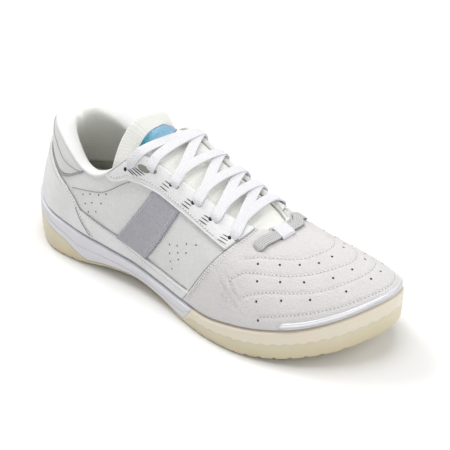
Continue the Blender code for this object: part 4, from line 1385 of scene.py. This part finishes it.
def gloss(name, colour):
    """A glossy moulded strip with a faint ripple."""
    material, shader = new_finish(name, colour, 0.20, Coat_Weight=0.35, Coat_Roughness=0.12)
    place = coordinates(material)
    ripples = noise(material, place, 140.0, 3.0)
    tint = mix(material, remap(material, ripples, 0.3, 0.7), colour, shade(colour, 0.97))
    return dress(material, shader, Base_Color=tint,
                 Normal=bump(material, ripples, 0.12 * MM, 0.6))


def gum(name, cream, amber):
    """Gum rubber, lighter above the wavy step, deeper and warmer towards the floor, with a faint
    marbling and a fine moulded tooth."""
    material, shader = new_finish(name, cream, 0.42, Subsurface_Weight=0.18,
                                  Subsurface_Scale=0.004, Specular_IOR_Level=0.4)
    place = coordinates(material)
    marble = noise(material, place, 70.0, 5.0)
    level, band = attribute(material, "level"), attribute(material, "band")
    deep = remap(material, level, 0.0, 0.62, 1.0, 0.42)
    uneven = times(material, remap(material, marble, 0.3, 0.7, 0.75, 1.1), deep)
    body = mix(material, uneven, shade(cream, 0.97), amber)
    light = (min(cream[0] * 1.02, 1), cream[1] * 0.985, cream[2] * 1.02)
    share = times(material, band, 0.95)
    tint = mix(material, share, body, light)
    fine = bump(material, noise(material, place, 1300.0, 2.0), 0.06 * MM)
    return dress(material, shader, Base_Color=tint,
                 Normal=bump(material, marble, 0.4 * MM, 0.4, fine))


def foam(name, colour):
    """Moulded white foam: a fine even skin with faint cloudy patches."""
    material, shader = new_finish(name, colour, 0.52, Specular_IOR_Level=0.35)
    place = coordinates(material)
    cloud = noise(material, place, 55.0, 4.0)
    tint = mix(material, remap(material, cloud, 0.35, 0.75), colour, shade(colour, 0.95))
    return dress(material, shader, Base_Color=tint,
                 Normal=bump(material, noise(material, place, 1500.0, 2.0), 0.05 * MM))


def mesh_cloth(name, colour, pitch, edge=None):
    """Knitted mesh on the piece's own map: rows of small holes, staggered, each a product of two
    sine waves; where an edge colour is given the smooth side is leather."""
    material, shader = new_finish(name, colour, 0.9, Sheen_Weight=0.2, Specular_IOR_Level=0.2)
    along, across = map_axes(material)
    turns = 2 * math.pi / (pitch * MM) / 1.6
    waves = [calculate(material, "SINE",
                       times(material, calculate(material, operation, along, across), turns))
             for operation in ("ADD", "SUBTRACT")]
    knit = times(material, *waves)
    pore = remap(material, knit, 0.15, 0.85)
    fuzz = noise(material, coordinates(material), 1400.0, 3.0)
    cloth = mix(material, times(material, pore, 0.40), colour,
                (colour[0] * 0.86, colour[1] * 0.83, colour[2] * 0.72))
    height = calculate(material, "SUBTRACT", times(material, fuzz, 0.4), pore)
    if edge is None:
        return dress(material, shader, Base_Color=cloth,
                     Normal=bump(material, height, 0.22 * MM, 0.8))
    inside = attribute(material, "inside")
    tint = mix(material, inside, edge, cloth)
    dullness = remap(material, inside, 0.0, 1.0, 0.5, 0.9)
    outer = bump(material, cells(material, coordinates(material), 820.0), 0.10 * MM, 0.7)
    return dress(material, shader, Base_Color=tint, Roughness=dullness,
                 Normal=bump(material, times(material, height, inside), 0.25 * MM, 0.8, outer))


def woven(name, colour, pitch, ribs, depth, groove_shade=0.80, border=None):
    """Woven tape on its own map: ribs along it crossed by slanted threads, with painted shade
    where the weave is low.  Where a border is given, painted shade darkens the tape outside that
    half width."""
    material, shader = new_finish(name, colour, 0.82, Sheen_Weight=0.2, Specular_IOR_Level=0.25)
    along, across = map_axes(material)
    turns = 2 * math.pi / (pitch * MM)
    lengthwise = calculate(material, "SINE", times(material, across, turns * ribs))
    slant = calculate(material, "ADD", along, calculate(material, "ABSOLUTE", across))
    thread = calculate(material, "SINE", times(material, slant, turns))
    threads = times(material, thread, 0.5 if ribs == 1.0 else 1.0)
    weave = calculate(material, "ADD", lengthwise, threads)
    # Painted shade: the tape is darker where the weave's relief is low, in its grooves.
    share = remap(material, weave, -1.6, 1.2, 1.0, 0.0)
    face = mix(material, times(material, share, 0.7), colour,
               shade(colour, groove_shade))
    if border is not None:
        # Painted shade: outside the border half width the tape darkens to 0.22 of its colour, for
        # the shadow along the strap's sides.
        rim = remap(material, calculate(material, "ABSOLUTE", across), border, border + 0.3 * MM)
        face = mix(material, rim, face, shade(colour, 0.22))
    return dress(material, shader, Base_Color=face,
                 Normal=bump(material, weave, depth * MM, 0.7))


def sheen_patch(name, teal, sky, lavender):
    """A woven satin patch whose colour runs from teal over sky blue to lavender along it, darker
    round its border."""
    material, shader = new_finish(name, sky, 0.30, Coat_Weight=0.3, Coat_Roughness=0.2)
    along = map_axes(material)[0]
    cloud = noise(material, coordinates(material), 260.0, 3.0)
    place = calculate(material, "ADD", along, remap(material, cloud, 0.25, 0.75, -0.14, 0.14))
    first = mix(material, remap(material, place, 0.10, 0.42), teal, sky)
    colour = mix(material, remap(material, place, 0.55, 0.92), first, lavender)
    edge = remap(material, attribute(material, "edge"), 0.35, 0.95, 0.85, 0.0)
    fleck = remap(material, noise(material, coordinates(material), 1500.0, 2.0), 0.45, 0.62)
    colour = mix(material, times(material, fleck, 0.35), colour,
                 (0.02, 0.12, 0.22))
    tint = mix(material, edge, colour, (0.03, 0.06, 0.10))
    satin = calculate(material, "SINE", times(material, along, 420.0))
    return dress(material, shader, Base_Color=tint, Normal=bump(material, satin, 0.05 * MM, 0.5))


def plain(name, colour, roughness):
    """Thread, or the dark of a hole: a colour with a fine unevenness."""
    made = bpy.data.materials.get(name)
    if made is not None:
        return made
    material, shader = new_finish(name, colour, roughness, Specular_IOR_Level=0.2)
    cloud = noise(material, coordinates(material), 700.0, 2.0)
    return dress(material, shader, Base_Color=mix(material, cloud, colour, shade(colour, 0.85)))


def add_floor(colour):
    """A wide plain floor at height 0."""
    mesh = bpy.data.meshes.new("floor")
    side = 4.0
    corners = [(-side, -side, 0), (side, -side, 0), (side, side, 0), (-side, side, 0)]
    mesh.from_pydata(corners, [], [(0, 1, 2, 3)])
    floor = bpy.data.objects.new("floor", mesh)
    material, shader = new_finish("pale floor", colour, 0.55, Specular_IOR_Level=0.2)
    cloud = noise(material, coordinates(material), 3.0, 2.0)
    dress(material, shader, Base_Color=mix(material, cloud, colour, shade(colour, 0.99)))
    mesh.materials.append(material)
    bpy.context.scene.collection.objects.link(floor)


def aim(obj, place, target):
    """Stands at a place and looks at a target."""
    obj.location = place
    obj.rotation_euler = (Vector(target) - Vector(place)).to_track_quat("-Z", "Y").to_euler()


def add_lamp(name, place, size, power, colour):
    """A round soft lamp that faces the shoe."""
    lamp = bpy.data.lights.new(name, "AREA")
    lamp.shape = "DISK"
    lamp.size = size
    lamp.energy = power
    lamp.color = colour
    obj = bpy.data.objects.new(name, lamp)
    bpy.context.scene.collection.objects.link(obj)
    aim(obj, place, (0.0, 0.0, 0.04))


def add_camera(azimuth, elevation, distance, lens):
    """The photograph's view: turned from -Y towards +X by the azimuth, and up by the
    elevation."""
    camera = bpy.data.cameras.new("camera")
    camera.lens = lens
    camera.sensor_width = 36.0
    camera.clip_end = 20.0
    obj = bpy.data.objects.new("camera", camera)
    bpy.context.scene.collection.objects.link(obj)
    target = Vector(CAMERA_TARGET)
    level = math.cos(elevation)
    way = Vector((math.sin(azimuth) * level, -math.cos(azimuth) * level, math.sin(elevation)))
    aim(obj, target + way * distance, target)
    bpy.context.scene.camera = obj


class ShoeSizes(bpy.types.PropertyGroup):
    """Sizes that a user would change."""

    lace_width: bpy.props.FloatProperty(
        name="Lace width", description="Width of the flat laces", default=0.0070, unit="LENGTH")
    lace_thickness: bpy.props.FloatProperty(
        name="Lace thickness", description="Thickness of the flat laces", default=0.0015,
        unit="LENGTH")
    strap_width: bpy.props.FloatProperty(
        name="Strap width", description="Width of the ribbed strap over the throat's foot",
        default=0.0080, unit="LENGTH")
    tongue_thickness: bpy.props.FloatProperty(
        name="Tongue thickness", description="Thickness of the padded tongue", default=TONGUE,
        unit="LENGTH")
    camera_azimuth: bpy.props.FloatProperty(
        name="Camera azimuth", description="How far the camera stands round from the outer side",
        default=math.radians(39.45), subtype="ANGLE")
    camera_elevation: bpy.props.FloatProperty(
        name="Camera elevation", description="How high the camera looks down from",
        default=math.radians(31.05), subtype="ANGLE")
    camera_distance: bpy.props.FloatProperty(
        name="Camera distance", description="From the camera to what it looks at",
        default=1.095, unit="LENGTH")
    camera_lens: bpy.props.FloatProperty(
        name="Camera lens", description="Focal length in millimetres", default=132.1)


def colour_property(name, description, colour):
    """A colour that a user would change."""
    return bpy.props.FloatVectorProperty(name=name, description=description, default=colour,
                                         subtype="COLOR", min=0.0, max=1.0)


class ShoeColours(bpy.types.PropertyGroup):
    """Colours of the finishes."""

    leather: colour_property("Leather", "Smooth leather of the sides", (0.74, 0.74, 0.73))
    counter: colour_property("Counter", "Leather of the heel and the collar", (0.79, 0.79, 0.79))
    suede: colour_property("Suede", "Napped toe", (0.71, 0.70, 0.70))
    gloss: colour_property("Gloss", "Strip at the toe", (0.68, 0.68, 0.71))
    band: colour_property("Band", "Grey bands of the sides", (0.42, 0.42, 0.46))
    lining: colour_property("Lining", "Mesh of the tongue and the lining", (0.93, 0.93, 0.89))
    lace: colour_property("Lace", "Laces and tape", (0.85, 0.85, 0.88))
    gum: colour_property("Gum", "Gum rubber", (0.75, 0.71, 0.57))
    amber: colour_property("Amber", "Gum rubber near the floor", (0.60, 0.52, 0.34))
    foam: colour_property("Foam", "White midsole", (0.72, 0.72, 0.76))
    webbing: colour_property("Webbing", "Ribbed strap", (0.68, 0.68, 0.68))
    thread: colour_property("Thread", "Stitches", (0.86, 0.85, 0.83))
    dark: colour_property("Holes", "Dark of the holes and seams", (0.035, 0.035, 0.045))
    floor: colour_property("Floor", "Plain floor", (0.90, 0.90, 0.90))


class SHOE_OT_sole(bpy.types.Operator):
    """Gum sole, white midsole and footbed"""

    bl_idname = "shoe.sole"
    bl_label = "Sole"

    def execute(self, context):
        colours = context.scene.shoe_colours
        add_gum_sole(gum("gum rubber", colours.gum, colours.amber))
        add_midsole(foam("white foam", colours.foam))
        add_footbed(mesh_cloth("footbed cloth", (0.55, 0.55, 0.52), 1.4))
        return {"FINISHED"}


class SHOE_OT_upper(bpy.types.Operator):
    """The upper's thin wall"""

    bl_idname = "shoe.upper"
    bl_label = "Upper"

    def execute(self, context):
        colours = context.scene.shoe_colours
        # The inner face's lining colour is a darker, greener copy of the cream lining: painted
        # shade of the shoe's inside.
        add_upper_shell(leather("smooth leather", colours.leather, 0.46,
                                lining=(0.60, 0.62, 0.53)))
        return {"FINISHED"}


class SHOE_OT_leather_pieces(bpy.types.Operator):
    """Vamp, toe strip, counter, foxings, eyestays and side bands"""

    bl_idname = "shoe.leather_pieces"
    bl_label = "Leather pieces"

    def execute(self, context):
        colours = context.scene.shoe_colours
        add_leather_pieces(leather("counter leather", colours.counter, 0.44),
                           suede("napped suede", colours.suede), gloss("gloss", colours.gloss),
                           leather("grey leather", colours.band, 0.50, 600.0, 0.18, 0.9))
        return {"FINISHED"}


class SHOE_OT_collar(bpy.types.Operator):
    """The padded collar"""

    bl_idname = "shoe.collar"
    bl_label = "Collar"

    def execute(self, context):
        colours = context.scene.shoe_colours
        add_collar(mesh_cloth("collar lining", colours.lining, 1.5, edge=colours.counter[:]))
        return {"FINISHED"}


class SHOE_OT_tongue(bpy.types.Operator):
    """The padded tongue and its plain patch"""

    bl_idname = "shoe.tongue"
    bl_label = "Tongue"

    def execute(self, context):
        thickness = context.scene.shoe_sizes.tongue_thickness
        add_tongue(mesh_cloth("tongue mesh", context.scene.shoe_colours.lining, 1.6), thickness)
        add_tongue_patch(sheen_patch("blue sheen", (0.03, 0.27, 0.36), (0.30, 0.58, 0.78),
                                     (0.42, 0.38, 0.58)), thickness)
        return {"FINISHED"}


class SHOE_OT_laces(bpy.types.Operator):
    """Flat laces, the ribbed strap and its loop"""

    bl_idname = "shoe.laces"
    bl_label = "Laces and strap"

    def execute(self, context):
        sizes, colours = context.scene.shoe_sizes, context.scene.shoe_colours
        cotton = woven("woven lace", colours.lace, 1.3, 1.2, 0.14)
        add_laces(cotton, sizes.lace_width, sizes.lace_thickness)
        half = sizes.strap_width / 2
        # The webbing's grooves and its border carry painted shade: the shadow in its ribs and along
        # the strap's sides.
        add_strap(woven("ribbed webbing", colours.webbing, 1.5, 1.0, 0.40, 0.5,
                        half - 0.35 * MM), cotton, sizes.strap_width)
        return {"FINISHED"}


class SHOE_OT_seams(bpy.types.Operator):
    """Seams, folded edges, stitches, holes and the bars by the lace holes"""

    bl_idname = "shoe.seams"
    bl_label = "Seams"

    def execute(self, context):
        colours = context.scene.shoe_colours
        dark = plain("dark hole", colours.dark, 0.9)
        add_seam_lines(plain("seam shade", (0.36, 0.36, 0.38), 0.8))
        add_edge_cords(leather("counter leather", colours.counter, 0.44))
        add_stitching(plain("white thread", colours.thread, 0.75),
                      plain("needle shade", (0.30, 0.29, 0.30), 0.9),
                      plain("band thread", (0.66, 0.66, 0.72), 0.7))
        grey = plain("window shade", (0.27, 0.27, 0.24), 0.9)
        add_holes(dark, grey)
        add_hatching(plain("bar shade", (0.10, 0.10, 0.11), 0.8), grey)
        return {"FINISHED"}


class SHOE_OT_stage(bpy.types.Operator):
    """Floor, lamps and camera"""

    bl_idname = "shoe.stage"
    bl_label = "Stage"

    def execute(self, context):
        sizes = context.scene.shoe_sizes
        add_camera(sizes.camera_azimuth, sizes.camera_elevation, sizes.camera_distance,
                   sizes.camera_lens)
        add_floor(context.scene.shoe_colours.floor)
        for lamp in LAMPS:
            add_lamp(*lamp)
        context.scene.view_settings.view_transform = "Standard"
        world = bpy.data.worlds.new("studio")
        world.use_nodes = True
        back = world.node_tree.nodes["Background"]
        back.inputs["Color"].default_value = (1.0, 1.0, 1.0, 1.0)
        back.inputs["Strength"].default_value = WORLD_STRENGTH
        context.scene.world = world
        return {"FINISHED"}


STEPS = (SHOE_OT_stage, SHOE_OT_sole, SHOE_OT_upper, SHOE_OT_leather_pieces, SHOE_OT_collar,
         SHOE_OT_tongue, SHOE_OT_laces, SHOE_OT_seams)


class SHOE_PT_panel(bpy.types.Panel):
    """The steps of the shoe in the sidebar"""

    bl_idname = "SHOE_PT_panel"
    bl_label = "Indoor soccer shoe"
    bl_space_type = "VIEW_3D"
    bl_region_type = "UI"
    bl_category = "Shoe"

    def draw(self, context):
        for step in STEPS:
            self.layout.operator(step.bl_idname)
        for name in ShoeSizes.__annotations__:
            self.layout.prop(context.scene.shoe_sizes, name)
        for name in ShoeColours.__annotations__:
            self.layout.prop(context.scene.shoe_colours, name)


CLASSES = (ShoeSizes, ShoeColours) + STEPS + (SHOE_PT_panel,)


def register():
    """Makes the steps, the panel and the two groups of values known."""
    for item in CLASSES:
        bpy.utils.register_class(item)
    bpy.types.Scene.shoe_sizes = bpy.props.PointerProperty(type=ShoeSizes)
    bpy.types.Scene.shoe_colours = bpy.props.PointerProperty(type=ShoeColours)


def unregister():
    """Takes back what register made known."""
    del bpy.types.Scene.shoe_colours
    del bpy.types.Scene.shoe_sizes
    for item in reversed(CLASSES):
        bpy.utils.unregister_class(item)


def main():
    """Builds everything in order."""
    register()
    bpy.ops.shoe.stage()
    bpy.ops.shoe.sole()
    bpy.ops.shoe.upper()
    bpy.ops.shoe.leather_pieces()
    bpy.ops.shoe.collar()
    bpy.ops.shoe.tongue()
    bpy.ops.shoe.laces()
    bpy.ops.shoe.seams()
    bpy.context.view_layer.update()


if __name__ == "__main__":
    main()
